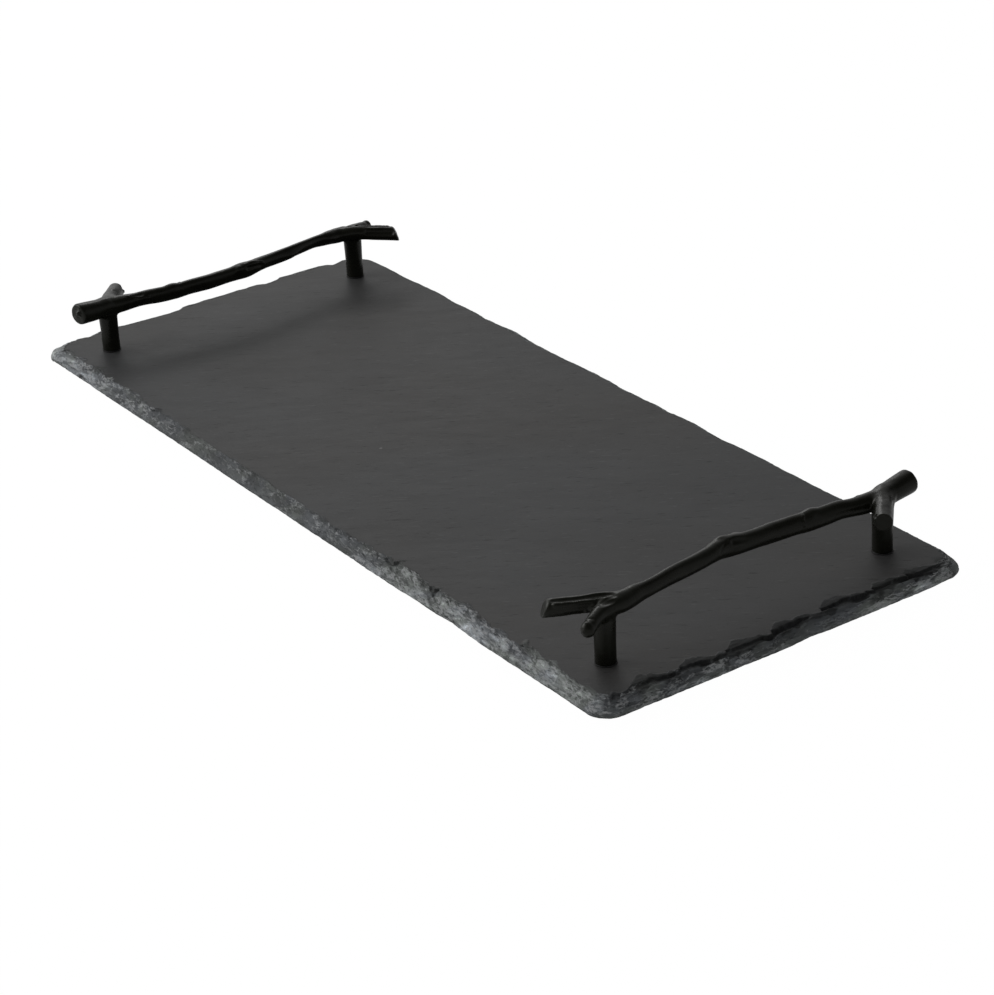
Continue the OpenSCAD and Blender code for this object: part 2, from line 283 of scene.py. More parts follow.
EDGE_RUN = 5.6
EDGE_LIP = 0.17
EDGE_POWER = 1.2
LEDGE_DEPTH = 2.0
LEDGE_SOFT = 0.5
TOOTH_SEED, SMALL_TOOTH_SEED = 51, 52
TOOTH_COUNT = 400
TOOTH_RUN = 2.2
TOOTH_SHORT, TOOTH_LONG = 13.0, 34.0
# Colour of the painted shade under the ledge's rim
SHADED_TONE = 0.01
PLATE_RUN = 6.5
PLATE_DEPTH = 0.28
# Painted shade of the thin plates, by the ledge and at their far end
PLATE_SHADE_TONES = (0.0068, 0.021)
CRUSHED_TONE = 0.26
# Scoops and thin plates left by single flakes: count, half width, reach, depth share, fall-off power
FLAKES = [
    (130, (3.5, 9.0), (4.5, 9.0), (0.45, 0.85), (0.9, 1.7)),
    (260, (1.8, 4.4), (1.6, 5.0), (0.45, 0.95), (0.8, 1.6)),
    (260, (1.0, 2.6), (0.8, 4.0), (0.2, 0.8), (0.7, 1.3)),
    (150, (3.0, 8.0), (5.5, 9.5), (0.05, 0.13), (0.15, 0.4)),
]
FLAKE_SEED, FLAKE_TONE_SEED = 5, 6
FLAKE_SKEW = 0.7
LAYER_SEED, LAYER_COUNT = 17, 24
LAYER_THIN, LAYER_THICK = 0.7, 1.6
TREAD = 0.72
TREAD_FALL = 0.12
BAND_END = 15.0
BAND_INSETS = [0.0, 0.12, 0.3, 0.52, 0.78, 1.06]
BAND_INSETS += list(np.arange(1.36, 10, 0.33)) + list(np.arange(10.3, BAND_END, 0.5))
LIP_ROWS = [0.35, 0.7]
GRAIN_ANGLE = math.radians(55)
TOP_SEED = 11
UNDER_SEED = 31
RIVEN_DEPTH = 0.07
# Waves of the riven faces: height, length along the grain, length across it
RIVEN_WAVES = [(0.03, 45, 18), (0.018, 16, 5), (0.014, 7, 2.4)]
KEEP_FLAT_R = 6.5
KEEP_FLAT_FADE = 6.0
FOOT_FLAT = 1.0


def riven(xy, seed):
    """Depth of the riven relief, from 0 up, flat round the posts and the feet."""
    x, y = xy[:, 0], xy[:, 1]
    along = x * math.cos(GRAIN_ANGLE) + y * math.sin(GRAIN_ANGLE)
    across = y * math.cos(GRAIN_ANGLE) - x * math.sin(GRAIN_ANGLE)
    depth = RIVEN_DEPTH
    for k, (high, long, wide) in enumerate(RIVEN_WAVES):
        depth = depth + high * noise2(along / long, across / wide, seed + k)
    keep = np.ones_like(x)
    for post, foot in zip(POSTS, FEET):
        keep *= fade((np.hypot(x - post[0], y - post[1]) - KEEP_FLAT_R) / KEEP_FLAT_FADE)
        if seed == UNDER_SEED:
            keep *= fade((np.hypot(x - foot[0], y - foot[1]) - FOOT_R - FOOT_FLAT) / KEEP_FLAT_FADE)
    return np.clip(depth, 0, None) * keep


def teeth(s, seed, split=1, rise=0.05):
    """Shares that rise quickly and fall from 1 to 0 along each tooth of a row of teeth of uneven length."""
    lengths = np.random.RandomState(seed).uniform(TOOTH_SHORT / split, TOOTH_LONG / split, TOOTH_COUNT)
    ends = np.cumsum(lengths)
    k = np.searchsorted(ends, s)
    start = np.concatenate([[0], ends])[k]
    share = (s - start) / (ends[k] - start)
    return (1 - share) * fade(share / rise)


def cut_flakes(depth, s, d, rough):
    """Deepens the edge by single flakes, and gives the number of the flake that shows at each point."""
    rng = np.random.RandomState(FLAKE_SEED)
    length = float(s.max())
    owner = np.zeros(depth.shape, int)
    number = 0
    for count, width, reach, deep, power in FLAKES:
        for centre in rng.uniform(0, length, count):
            w, r = rng.uniform(*width), rng.uniform(*reach)
            deepest, e, skew = rng.uniform(*deep), rng.uniform(*power), rng.uniform(-FLAKE_SKEW, FLAKE_SKEW)
            number += 1
            here = np.nonzero(np.abs(s[0] - centre) < w * 1.9)[0]
            if not len(here):
                continue
            strength = rough[0, here]
            r = r * (0.62 + 0.38 * strength.mean())
            off = (s[0, here][None, :] - centre + skew * d) / w
            bow = np.sqrt(np.clip(1 - off * off, 0, 1))
            scoop = deepest * BOARD_T * np.clip(1 - d / (r * bow + 1e-6), 0, 1) ** e * bow ** 0.4
            scoop *= (0.35 + 0.65 * strength)[None, :]
            deeper = scoop > depth[:, here] + 0.02
            owner[:, here] = np.where(deeper, number, owner[:, here])
            depth[:, here] = np.maximum(depth[:, here], scoop)
    return owner


def layered(height, terrace):
    """Steps the broken surface by the layers of the stone, and gives the place within each layer."""
    thickness = np.random.RandomState(LAYER_SEED).uniform(LAYER_THIN, LAYER_THICK, LAYER_COUNT)
    levels = np.concatenate([[0], np.cumsum(thickness)])
    height = np.clip(height, 0, BOARD_T)
    layer = np.clip(np.searchsorted(levels, height, side="right") - 1, 0, len(levels) - 2)
    thick = levels[layer + 1] - levels[layer]
    part = (height - levels[layer]) / thick
    step = np.where(part < TREAD, TREAD_FALL * part / TREAD,
                    TREAD_FALL + (1 - TREAD_FALL) * (part - TREAD) / (1 - TREAD))
    stepped = levels[layer] + thick * step
    return height * (1 - terrace) + stepped * terrace, part


def knapped(s, track):
    """Depth under the top, share of edge, share of fresh stone, tone with painted shade, and contrast, per
    inset and place.
    """
    d = np.array(BAND_INSETS)[:, None]
    s, track = s[None, :], track[None, :]
    run_share, rough, terrace, fresh, ledge, low_tone, high_tone, contrast = (
        at_track(track, ZONES, k) for k in range(1, 9))

    def wave(length, seed):
        return noise2(s / length, s * 0, seed)

    def patch(length, width, seed):
        return noise2(s / length, d / width, seed)

    for centre, half, deep in RIM_SCARS:
        ledge = np.maximum(ledge, deep * fade(1.6 * (1 - np.abs(track - centre) / half)))
    jag = (0.06 + 0.12 * rough) * wave(16, 1) + (0.15 * wave(5.5, 2) + 0.06 * wave(1.7, 3)) * rough
    tooth = teeth(s, TOOTH_SEED)
    step_in = TOOTH_RUN * ledge * (tooth - 0.5)
    step_in = step_in + TOOTH_RUN * 0.35 * rough * (teeth(s, SMALL_TOOTH_SEED, 3) - 0.5)
    run = EDGE_RUN * run_share * (1 + jag) + step_in + at_track(track, RIM_SHIFTS, left=0, right=0)
    lip = EDGE_LIP * (1 + 0.5 * wave(5, 4))
    depth = BOARD_T * (1 - lip) * np.clip(1 - d / run, 0, 1) ** EDGE_POWER
    owner = cut_flakes(depth, s, d, rough)
    ridge = (owner != np.roll(owner, 1, 1)) | (owner != np.roll(owner, -1, 1))
    ridge[1:] |= owner[1:] != owner[:-1]
    flake_count = sum(flakes[0] for flakes in FLAKES)
    flake_tone = np.random.RandomState(FLAKE_TONE_SEED).uniform(-1, 1, flake_count + 1)[owner]
    # Ledge: the rim breaks off steeply, and a lower shelf runs out from it
    ledge_run = run * (1.14 + 0.1 * wave(7, 7) + 0.06 * wave(2.2, 8))
    shelf = ledge * LEDGE_DEPTH * (0.75 + 0.45 * patch(9, 3, 9))
    depth = np.maximum(depth, shelf * fade((ledge_run - d) / LEDGE_SOFT))
    # Thin plates split off the top past the ledge, wide at the start of each tooth
    past = ledge_run + LEDGE_SOFT + PLATE_RUN * teeth(s, TOOTH_SEED, rise=0.3) * (0.9 + 0.4 * wave(6, 18))
    past = past + 0.5 * wave(2.2, 19)
    on_plate = fade((past - d) / LEDGE_SOFT) * np.clip(1.6 * ledge - 0.4, 0, 1)
    slope = np.clip((past - d) / np.maximum(past - ledge_run, LEDGE_SOFT), 0, 1)
    depth = np.maximum(depth, on_plate * PLATE_DEPTH * (0.6 + 1.2 * slope))
    inside = fade(depth / 0.25)
    # Painted shade: a dark band on the ledge under the rim, widest at the start of each tooth
    wide = 1.3 + 3.6 * tooth * np.clip(0.75 + 0.5 * wave(4, 15), 0, 1)
    shade = fade((ledge_run - d + 0.1) / 0.35) * (1 - fade((ledge_run - d - wide) / 0.8))
    shade = np.clip(shade * ledge * (0.8 + 0.3 * patch(3, 0.7, 16)) * fade(depth / 0.12), 0, 1)
    # Broken surface, then the layers of the stone
    broken = 0.26 * patch(5, 1.2, 12) + 0.32 * patch(9, 2.4, 13) + 0.06 * patch(1.3, 0.7, 14)
    height, part = layered(depth + broken * rough * inside, terrace)
    height = np.where(depth > 1e-4, height, 0)
    height = np.minimum(height, BOARD_T * (1 - lip * 0.55))
    # Fresh stone shows along the ridges, on the lips of the layers and in crushed patches near the lower edge
    lips = np.exp(-((part - TREAD) / 0.16) ** 2) * terrace
    patches = fade(0.5 + 1.3 * patch(6, 1.7, 21) + 0.5 * patch(2.2, 0.8, 22))
    gaps = patch(3.6, 1.2, 23)
    low = fade(1.15 - 0.75 * d / run)
    light = 0.16 * patches * low + 0.35 * lips * patches + 0.6 * ridge * fade(0.3 + 1.3 * gaps)
    light = inside * np.clip(light, 0, 1) * fresh * (1 - shade)
    arcs = ridge * fade((gaps + 0.15) / 0.3) * fresh * (d > run) * (depth > 0.03)
    inside = np.maximum(inside, 0.75 * arcs)
    light = np.maximum(light, 0.9 * arcs)
    grain = 0.7 * flake_tone + 0.5 * patch(4.4, 1.2, 24)
    grain = grain + 0.7 * patch(13, 3, 26) + np.where(ridge, np.where(gaps > -0.1, 0.7, -1.0), 0)
    stone = (low_tone + (high_tone - low_tone) * np.clip(d / run, 0, 1)) * np.exp(contrast * grain)
    stone = stone * (1 - 0.5 * light) + CRUSHED_TONE * 0.5 * light
    # Painted shade under the ledge's rim
    stone = stone * (1 - shade) + SHADED_TONE * shade
    # Painted shade on the thin plates: darkest by the ledge and lighter towards their far end, in slivers
    plate = on_plate * fade((d - ledge_run + 0.3) / LEDGE_SOFT)
    shaded_slivers = np.clip(slope + 0.35 * noise2(s / 9, (d + 0.12 * s) / 1.1, 27), 0, 1)
    stone = stone * (1 - plate) + (PLATE_SHADE_TONES[1] + (PLATE_SHADE_TONES[0] - PLATE_SHADE_TONES[1]) * shaded_slivers) * plate
    calm = (1 - 0.9 * plate) * (1 - 0.75 * np.clip(1.5 * ledge - 0.5, 0, 1) * fade((d - 1.8) / 2.2))
    return height, inside, light * (1 - plate), stone, contrast * inside * calm


def halving_faces(a, b, n):
    """Triangles from a ring of n points at a to a ring of n / 2 points at b."""
    faces = []
    half = n // 2
    for i in range(half):
        j = (i + 1) % half
        faces.append((a + 2 * i, a + 2 * i + 1, b + i))
        faces.append((a + 2 * i + 1, b + j, b + i))
        faces.append((a + 2 * i + 1, a + (2 * i + 2) % n, b + j))
    return faces


HOLE_POINTS = 24
HOLE_CLEAR = 1.2
GRID_STEP = 2.6
GRID_ROW_SHARE = 0.87
GRID_JITTER = 0.4


def slate_fill(ring, seed):
    """Triangles that fill a ring, with the four screw holes left open: points, and faces by index."""
    n = len(ring)
    points = [tuple(p) for p in ring]
    edges = [(i, (i + 1) % n) for i in range(n)]
    for post_x, post_y in POSTS:
        first = len(points)
        points += [(post_x + x, post_y + y) for x, y, _ in circle(SLATE_HOLE_R, 0, HOLE_POINTS)]
        edges += [(first + i, first + (i + 1) % HOLE_POINTS) for i in range(HOLE_POINTS)]
    rng = np.random.RandomState(seed)
    low, high = ring.min(0) + GRID_STEP, ring.max(0) - GRID_STEP
    for j, y in enumerate(np.arange(low[1], high[1], GRID_STEP * GRID_ROW_SHARE)):
        for x in np.arange(low[0] + (j % 2) * GRID_STEP / 2, high[0], GRID_STEP):
            px, py = x + rng.uniform(-GRID_JITTER, GRID_JITTER), y + rng.uniform(-GRID_JITTER, GRID_JITTER)
            if all((px - hx) ** 2 + (py - hy) ** 2 > (SLATE_HOLE_R + HOLE_CLEAR) ** 2 for hx, hy in POSTS):
                points.append((px, py))
    out, _, tris, _, _, _ = delaunay_2d_cdt(points, edges, [], 1, 1e-6)
    out = np.array([(p[0], p[1]) for p in out])
    tris = np.array(tris)
    middle = out[tris].mean(1)
    keep = np.ones(len(tris), bool)
    for hx, hy in POSTS:
        keep &= np.hypot(middle[:, 0] - hx, middle[:, 1] - hy) > SLATE_HOLE_R * 0.98
    return out, tris[keep]


# Rings of the underside and of the top inside the band: inset, and step between the outline points taken
UNDER_RINGS = ((0.0, 1), (0.25, 1), (1.6, 1), (3.4, 2), (6.0, 4))
TOP_RINGS = ((BAND_END + 1.2, 2), (BAND_END + 3.6, 4))
UNDER_CHIP = 0.16
LIP_BULGE = 0.1
SHIFT_END = 22.0


def build_slate():
    base = outline(0)
    n = len(base)
    step = np.linalg.norm(np.roll(base, -1, 0) - base, axis=1)
    s = np.concatenate([[0], np.cumsum(step)[:-1]])
    track = track_of(base)
    ahead = np.roll(base, -6, 0) - np.roll(base, 6, 0)
    normal = np.stack([ahead[:, 1], -ahead[:, 0]], 1)
    normal /= np.linalg.norm(normal, axis=1)[:, None]
    wear = 0.3 + 0.7 * at_track(track, ZONES, 2)
    shift = at_track(track, OUTLINE_SHIFTS) + 0.2 * noise2(s / 13, s * 0, 41)
    shift += wear * (0.09 * noise2(s / 3, s * 0, 42) + 0.06 * noise2(s / 1.2, s * 0, 43))
    height, inside, light, stone, contrast = knapped(s, track)
    points, faces, places = [], [], []
    shares = {"edge": [], "fresh": [], "stone": [], "contrast": []}

    def add_ring(xy, z, along, across, edge=0, fresh=0, tone=0.05, clash=0.3):
        first = len(points)
        m = len(xy)
        points.extend(np.column_stack([xy, np.broadcast_to(z, m)]))
        places.extend(np.column_stack([np.broadcast_to(along, m), np.broadcast_to(across, m)]))
        for values, value in zip(shares.values(), (edge, fresh, tone, clash)):
            values.extend(np.broadcast_to(value, m))
        return first

    def moved(inset, take=1):
        keep = 1 - fade(inset / SHIFT_END)
        return (outline(inset) + normal * (shift * keep)[:, None])[::take]

    # Underside rings, from the lower edge inwards
    under = []
    for inset, take in UNDER_RINGS:
        xy, at = moved(inset, take), s[::take]
        chip = UNDER_CHIP * np.clip(noise2(at / 2.4, at * 0, 51) + 0.2, 0, 1) * (1 - fade(inset / 2.5))
        z = UNDER_Z + chip + riven(xy, UNDER_SEED) * fade(inset / 4)
        under.append(add_ring(xy, z, at, -inset, 0.7 * (1 - fade(inset / 2))))
    # Wall of the lip and the knapped band
    wall = []
    low_xy = moved(0.0)
    lip_z = TOP_Z - height[0]
    for share in LIP_ROWS:
        bulge = LIP_BULGE * noise2(s / 1.6, s * 0 + share * 7, 52)
        z = UNDER_Z + (lip_z - UNDER_Z) * share
        wall.append(add_ring(low_xy + normal * bulge[:, None], z, s, -0.2, 1, light[0] * 0.8, stone[0],
                             contrast[0]))
    for k, inset in enumerate(BAND_INSETS):
        xy = moved(inset)
        z = TOP_Z - np.maximum(height[k], riven(xy, TOP_SEED) * (1 - inside[k]))
        wall.append(add_ring(xy, z, s, inset, inside[k], light[k], stone[k], contrast[k]))
    rings = [under[0]] + wall
    for a, b in [*zip(rings, rings[1:]), (under[1], under[0]), (under[2], under[1])]:
        faces += ring_faces(a, b, n)
    faces += halving_faces(under[2], under[3], n) + halving_faces(under[3], under[4], n // 2)
    # Top rings inside the band, then the fill
    last, m = wall[-1], n
    for inset, take in TOP_RINGS:
        xy = moved(inset, take)
        first = add_ring(xy, TOP_Z - riven(xy, TOP_SEED), s[::take], inset)
        faces += halving_faces(last, first, m)
        last, m = first, m // 2
    hole_rows = []
    for ring_first, seed, level, sign in ((last, TOP_SEED, TOP_Z, -1), (under[4], UNDER_SEED, UNDER_Z, 1)):
        ring_xy = np.array([p[:2] for p in points[ring_first:ring_first + m]])
        xy, tris = slate_fill(ring_xy, seed + 3)
        z = level + sign * riven(xy, seed)
        first = add_ring(xy[m:], z[m:], 0, 0)
        index = np.concatenate([np.arange(m) + ring_first, np.arange(len(xy) - m) + first])
        faces += [tuple(f) for f in index[tris].tolist()]
        hole_rows.append(first)
    for k in range(4):
        faces += ring_faces(*(row + k * HOLE_POINTS for row in hole_rows), HOLE_POINTS)
    obj = face_out(new_object("slate_slab", points, faces))
    for name, values in shares.items():
        layer = obj.data.attributes.new(name, "FLOAT", "POINT")
        layer.data.foreach_set("value", np.array(values, np.float32))
    coords = np.column_stack([np.array(places, np.float32), np.array(points, np.float32)[:, 2]]).ravel()
    obj.data.attributes.new("place", "FLOAT_VECTOR", "POINT").data.foreach_set("vector", coords)
    return obj


# Twig handle, in its own frame: X away from the board's middle, Y along the handle, Z over the slate's top
# Each row is a point of an axis and the radius there: along, outward, up, radius. A fifth value is the oval:
# how much taller and narrower the section is than round
STEM = [
    (101.8, -5.3, 26.9, 5.75, 0), (97.5, -4.5, 26.95, 5.75, 0), (87.4, -3.2, 26.2, 5.4, 0),
    (77, -1.9, 25.3, 4.9, 0), (68.3, -2.6, 25.2, 4.4, 0.02), (62, -3.5, 25.3, 3.85, 0.06),
    (56, -4.8, 25.6, 3.88, 0.1), (50, -5.5, 25.2, 3.95, 0.13), (44, -6.1, 24.95, 4, 0.13),
    (38, -6.5, 24.85, 4, 0.14), (32, -6.9, 25.2, 3.9, 0.16), (26, -7.3, 25.25, 3.88, 0.17),
    (20, -7.8, 25.3, 3.9, 0.17), (14, -7.8, 25.5, 3.9, 0.14), (8, -7.9, 25.75, 3.83, 0.14),
    (2, -8.2, 25.9, 3.9, 0.13), (-4, -8.7, 26.15, 4, 0.13), (-10, -8.1, 26.8, 3.85, 0.1),
    (-16, -6.7, 26.8, 3.6, 0.08), (-22, -5.6, 26.7, 3.47, 0.12), (-28, -4.6, 26.7, 3.32, 0.18),
    (-34, -3.8, 26.75, 3.25, 0.2), (-40, -2.8, 26.95, 3.2, 0.18), (-46, -1.6, 27, 3.1, 0.18),
    (-52, -0.5, 27.05, 3.05, 0.2), (-58, 0.1, 26.75, 3.3, 0.16), (-64, 1, 26.5, 3.8, 0.1),
    (-70, 1.3, 26.2, 4.15, 0.04), (-76, 1, 26.45, 4, 0), (-83.2, 3.3, 25.6, 3.3, 0),
    (-88, 5.7, 24.7, 3.05, 0), (-91.3, 7.5, 23.6, 2.95, 0),
]
# Direction of the long axis of the oval, as shares along, outward and up
OVAL_WAY = (0.0, 0.36, -0.93)
INNER_BRANCH = [
    (-67.3, 0.3, 26.7, 3.4), (-76, -3.6, 27.25, 3.9), (-85.2, -9.2, 26.35, 3.9), (-96.2, -17, 25.3, 4),
    (-101, -20.3, 24.9, 4),
]
OUTER_STUB = [
    (80, -2.2, 26.3, 4.2), (76, 1.6, 26.1, 4.3), (72.4, 5.8, 25.7, 4.35), (67.9, 10.8, 25.4, 4.35),
    (62.7, 16.6, 25.1, 4.3), (60.5, 18.9, 25, 4.3),
]
# Cut faces: a point of the plane, its outward direction and the rounding of its rim
CUT_THICK_END = ((96.9, -4.8, 27.0), (1.0, -0.21, 0.02), 1.8)
CUT_BRANCH = ((-96.2, -16.8, 25.6), (-0.76, -0.42, 0.36), 1.3)
CUT_STUB = ((62.9, 16.4, 25.1), (-0.69, 0.72, -0.06), 0.7)
# Knots and lumps: centre, half sizes along, outward and up, and the blend into the twig
LUMPS = [
    ((-6.6, -10.6, 28.9), (3.9, 2.1, 2.5), 0.8),
    ((-1.5, -8.8, 28.2), (5, 3.2, 2.5), 2),
    ((1.7, -11, 28.5), (2, 1.6, 1.8), 0.9),
    ((41.5, -7.1, 26.8), (4.2, 3, 3.2), 1.6),
    ((-62.5, -1.6, 27.6), (4, 2.4, 2.2), 2.4),
    ((59.4, -7.4, 26.9), (2.6, 1.1, 1.5), 0.8),
    ((-30, -6.4, 26), (6, 1.3, 1.6), 2.4),
    ((-83.4, -4, 24.8), (1, 0.9, 0.8), 0.5),
    ((-91.5, 7.2, 24.1), (2.6, 2.6, 3.4), 0.7),
    ((-93.4, 7.9, 23.9), (1.1, 1.1, 1), 0.3),
    ((96.9, -6.2, 28.3), (1.5, 1.3, 1.2), 0.4),
    ((96.7, -3.2, 25.4), (1, 1.6, 0.9), 0.5),
]
# Raised lines along the skin: points of each, its radius and its blend
RIDGES = [
    ([(-93.6, -11.7, 28.1), (-91, -9.9, 28.4), (-88.4, -8.1, 28.6), (-83.8, -5, 29), (-81.4, -3.1, 28.9),
      (-80.8, -2.3, 27.9), (-81.6, -2.5, 26.4)], 1.15, 1.2),
    ([(67, -4.2, 28.9), (62.5, -6.5, 27.9), (56.5, -8.8, 26.2)], 0.5, 0.9),
    ([(-13.2, -10.7, 28.6), (-10.2, -12, 30.1), (-6.6, -12.3, 30.7), (-2.6, -11.5, 30.9)], 0.7, 0.6),
    ([(34.8, -3.3, 25.6), (35.2, -4.3, 28.2), (36.4, -5.8, 29.3)], 0.45, 0.8),
]
# Grooves, in the same form
GROOVES = [
    ([(-72.5, 0.2, 31.6), (-76.9, -2.5, 31.2), (-86.1, -8, 30.4), (-93.6, -13.4, 30)],
     1.3, 0.7),
    ([(-74.5, 0, 32.2), (-70, -1, 32.4)], 1, 1.4),
    ([(-82.6, -0.6, 28.3), (-80, 0.8, 29.6), (-76.5, 1.2, 30.6), (-72.5, 1.3, 31)], 0.7, 0.9),
    ([(-80, 2.4, 31.9), (-75.6, 4.2, 31.9)], 3, 0.5),
    ([(-91.6, 4.3, 26.8), (-89.7, 5.2, 27.9), (-87.9, 7.6, 27.8)], 0.6, 0.5),
    ([(-80.8, -12.3, 29.2), (-85.5, -15.3, 28.8), (-91, -19.2, 28.4)], 3, 0.4),
    ([(65, -7.2, 31), (60.7, -8, 30.9)], 3, 0.4),
    ([(-11.5, -13.1, 28), (-7.5, -13.9, 28.4), (-3.4, -13.9, 28.7)], 2.1, 0.4),
    ([(-12.2, -3.2, 26.4), (-9.6, -4.7, 29), (-4.6, -7.2, 31.1)], 0.6, 0.6),
    ([(-2.6, -4.2, 31), (3.2, -3.2, 30)], 3, 0.6),
    ([(37, -2.2, 26), (36.2, -3.4, 29.2)], 0.55, 1),
    ([(42.5, -1.6, 25.6), (41.5, -2.8, 29.2)], 0.5, 1.2),
    ([(43.5, -5, 31.2), (47.5, -6, 31.4)], 1, 0.8),
    ([(61.2, 12.9, 27.6), (60.2, 12.7, 26), (60.4, 13.3, 24.4)], 1.1, 0.3),
]
BARK_DEPTH = 0.15
BARK_FROM, BARK_FADE = 17.0, 5.0
# Waves of the bark: height, length across the twig, length along it, lattice shift and seed
BARK_WAVES = [(0.6, 2.1, 10, 7, 61), (0.9, 4.5, 16, 3, 62), (0.14, 1.3, 1.3, 5, 63)]
FORK_BLEND = 1.7
STUB_BLEND = 2.4
POST_BLEND = 2.0
POST_TOP = 26.0
POST_FLARE = 0.28
POST_FLARE_FROM, POST_FLARE_FADE = 8.0, 14.0
POST_FOOT = 0.1
POST_FOOT_FADE = 1.2
LINE_REACH = 3.0
VOXEL = 0.48
FIELD_STEP = 0.02
FIELD_TURNS, SLIDE_TURNS = 7, 5
FARTHEST_MOVE = 0.9
STEEPEST = 0.3


def smooth_path(rows, step=1.4):
    """A Catmull-Rom curve through the rows, as rows about a step apart."""
    rows = np.array(rows, float)
    ends = np.vstack([2 * rows[0] - rows[1], rows, 2 * rows[-1] - rows[-2]])
    out = []
    for i in range(len(rows) - 1):
        a, b, c, d = ends[i:i + 4]
        n = max(2, int(round(np.linalg.norm(c[:3] - b[:3]) / step)))
        t = (np.arange(n) / n)[:, None]
        out.append(0.5 * (2 * b + (c - a) * t + (2 * a - 5 * b + 4 * c - d) * t ** 2
                          + (3 * b - a - 3 * c + d) * t ** 3))
    out.append(rows[-1:])
    return np.concatenate(out)


def to_handle(rows):
    """Rows of (along, outward, up, ...) as points with X outward and Y along."""
    rows = np.array(rows, float)
    rows[..., [0, 1]] = rows[..., [1, 0]]
    return rows


def tube_points(path, sides=14):
    """A closed tube of points and faces round a path of (x, y, z, radius) rows."""
    centre, radius = path[:, :3], path[:, 3]
    tangent = np.gradient(centre, axis=0)
    tangent /= np.linalg.norm(tangent, axis=1)[:, None]
    side = np.cross(tangent, (0, 0, 1.0))
    side /= np.linalg.norm(side, axis=1)[:, None]
    top = np.cross(side, tangent)
    a = 2 * math.pi * np.arange(sides) / sides
    rings = centre[:, None] + radius[:, None, None] * (
        side[:, None] * np.cos(a)[None, :, None] + top[:, None] * np.sin(a)[None, :, None])
    faces = []
    for k in range(len(path) - 1):
        faces += ring_faces(k * sides, (k + 1) * sides, sides)
    faces.append(tuple(range(sides - 1, -1, -1)))
    faces.append(tuple((len(path) - 1) * sides + i for i in range(sides)))
    return rings.reshape(-1, 3), faces


def with_dome(path, rows=5):
    """The path with shrinking rows past its last point, so that its tube ends in a half ball."""
    x, r = path[-1, :3], path[-1, 3]
    way = x - path[-2, :3]
    way /= np.linalg.norm(way)
    dome = [np.append(x + way * r * math.sin(a), max(r * math.cos(a), 0.15))
            for a in np.linspace(0, math.pi / 2, rows + 1)[1:]]
    return np.vstack([path, dome])


def smooth_min(a, b, k):
    h = np.clip(k - np.abs(a - b), 0, None) / k
    return np.minimum(a, b) - h * h * k / 4


def smooth_max(a, b, k):
    return -smooth_min(-a, -b, k)


LONG_WAY = to_handle([OVAL_WAY])[0]
LONG_WAY = LONG_WAY / np.linalg.norm(LONG_WAY)
SHORT_WAY = np.cross(LONG_WAY, (0.0, 1.0, 0.0))


def tube_field(p, path):
    """Distance from each point to a tube, below 0 inside it."""
    a, b = path[:-1, :3], path[1:, :3]
    ab = b - a
    length2 = (ab * ab).sum(1)
    t = np.clip((p @ ab.T - (a * ab).sum(1)) / length2, 0, 1)
    best = np.full(len(p), np.inf)
    for i in range(len(a)):
        q = a[i] + t[:, i:i + 1] * ab[i] - p
        row = path[i] + t[:, i:i + 1] * (path[i + 1] - path[i])
        far2 = (q * q).sum(1)
        if path.shape[1] > 4:
            tall, wide = 1 + row[:, 4], 1 - row[:, 4]
            far2 = far2 + (q @ LONG_WAY) ** 2 * (1 / tall ** 2 - 1)
            far2 = far2 + (q @ SHORT_WAY) ** 2 * (1 / wide ** 2 - 1)
        best = np.minimum(best, np.sqrt(np.clip(far2, 0, None)) - row[:, 3])
    return best


class TwigField:
    """The twig handle as one smooth field, 0 on its surface and below 0 inside."""

    def __init__(self):
        self.axes = [smooth_path(to_handle(rows)) for rows in (STEM, INNER_BRANCH, OUTER_STUB)]
        self.cuts = []
        for point, normal, rounding in (CUT_THICK_END, CUT_BRANCH, CUT_STUB):
            n = to_handle([normal])[0]
            self.cuts.append((to_handle([point])[0], n / np.linalg.norm(n), rounding))
        self.ridges, self.grooves = (
            [(smooth_path([tuple(q) + (r,) for q in to_handle(rows)]), k) for rows, r, k in lines]
            for lines in (RIDGES, GROOVES))

    def posts(self, p, far):
        z = p[:, 2]
        radius = POST_R + POST_FLARE * fade((z - POST_FLARE_FROM) / POST_FLARE_FADE)
        radius = radius + POST_FOOT * (1 - fade((z - GASKET_T) / POST_FOOT_FADE))
        body = smooth_max(far - radius, GASKET_T - z, 0.35)
        return smooth_max(body, z - POST_TOP, 0.5)

    def bark(self, p):
        height = 0
        for high, across, along, shift, seed in BARK_WAVES:
            height = height + high * noise3(p / (across, along, across) + shift, seed)
        return BARK_DEPTH * height * fade((p[:, 2] - BARK_FROM) / BARK_FADE)

    def __call__(self, p):
        stem, branch, stub = (smooth_max(tube_field(p, path), (p - point) @ normal, rounding)
                              for path, (point, normal, rounding) in zip(self.axes, self.cuts))
        f = smooth_min(smooth_min(stem, branch, FORK_BLEND), stub, STUB_BLEND)
        for centre, half, k in LUMPS:
            c, h = to_handle([centre, half])
            q = (p - c) / h
            near = np.sqrt((q * q).sum(1))
            f = smooth_min(f, (near - 1) * h.min() * 0.9, k)
        for sign, lines in ((1, self.ridges), (-1, self.grooves)):
            for path, k in lines:
                low, high = path[:, :3].min(0), path[:, :3].max(0)
                reach = path[0, 3] + LINE_REACH
                near = np.nonzero(((p > low - reach) & (p < high + reach)).all(1))[0]
                f[near] = sign * smooth_min(sign * f[near], tube_field(p[near], path), k)
        far = np.hypot(p[:, 0], np.abs(p[:, 1]) - POST_Y)
        f = smooth_min(f - self.bark(p), self.posts(p, far), POST_BLEND)
        bore = np.maximum(far - BORE_R, p[:, 2] - GASKET_T - BORE_DEPTH)
        return np.maximum(f, -bore)


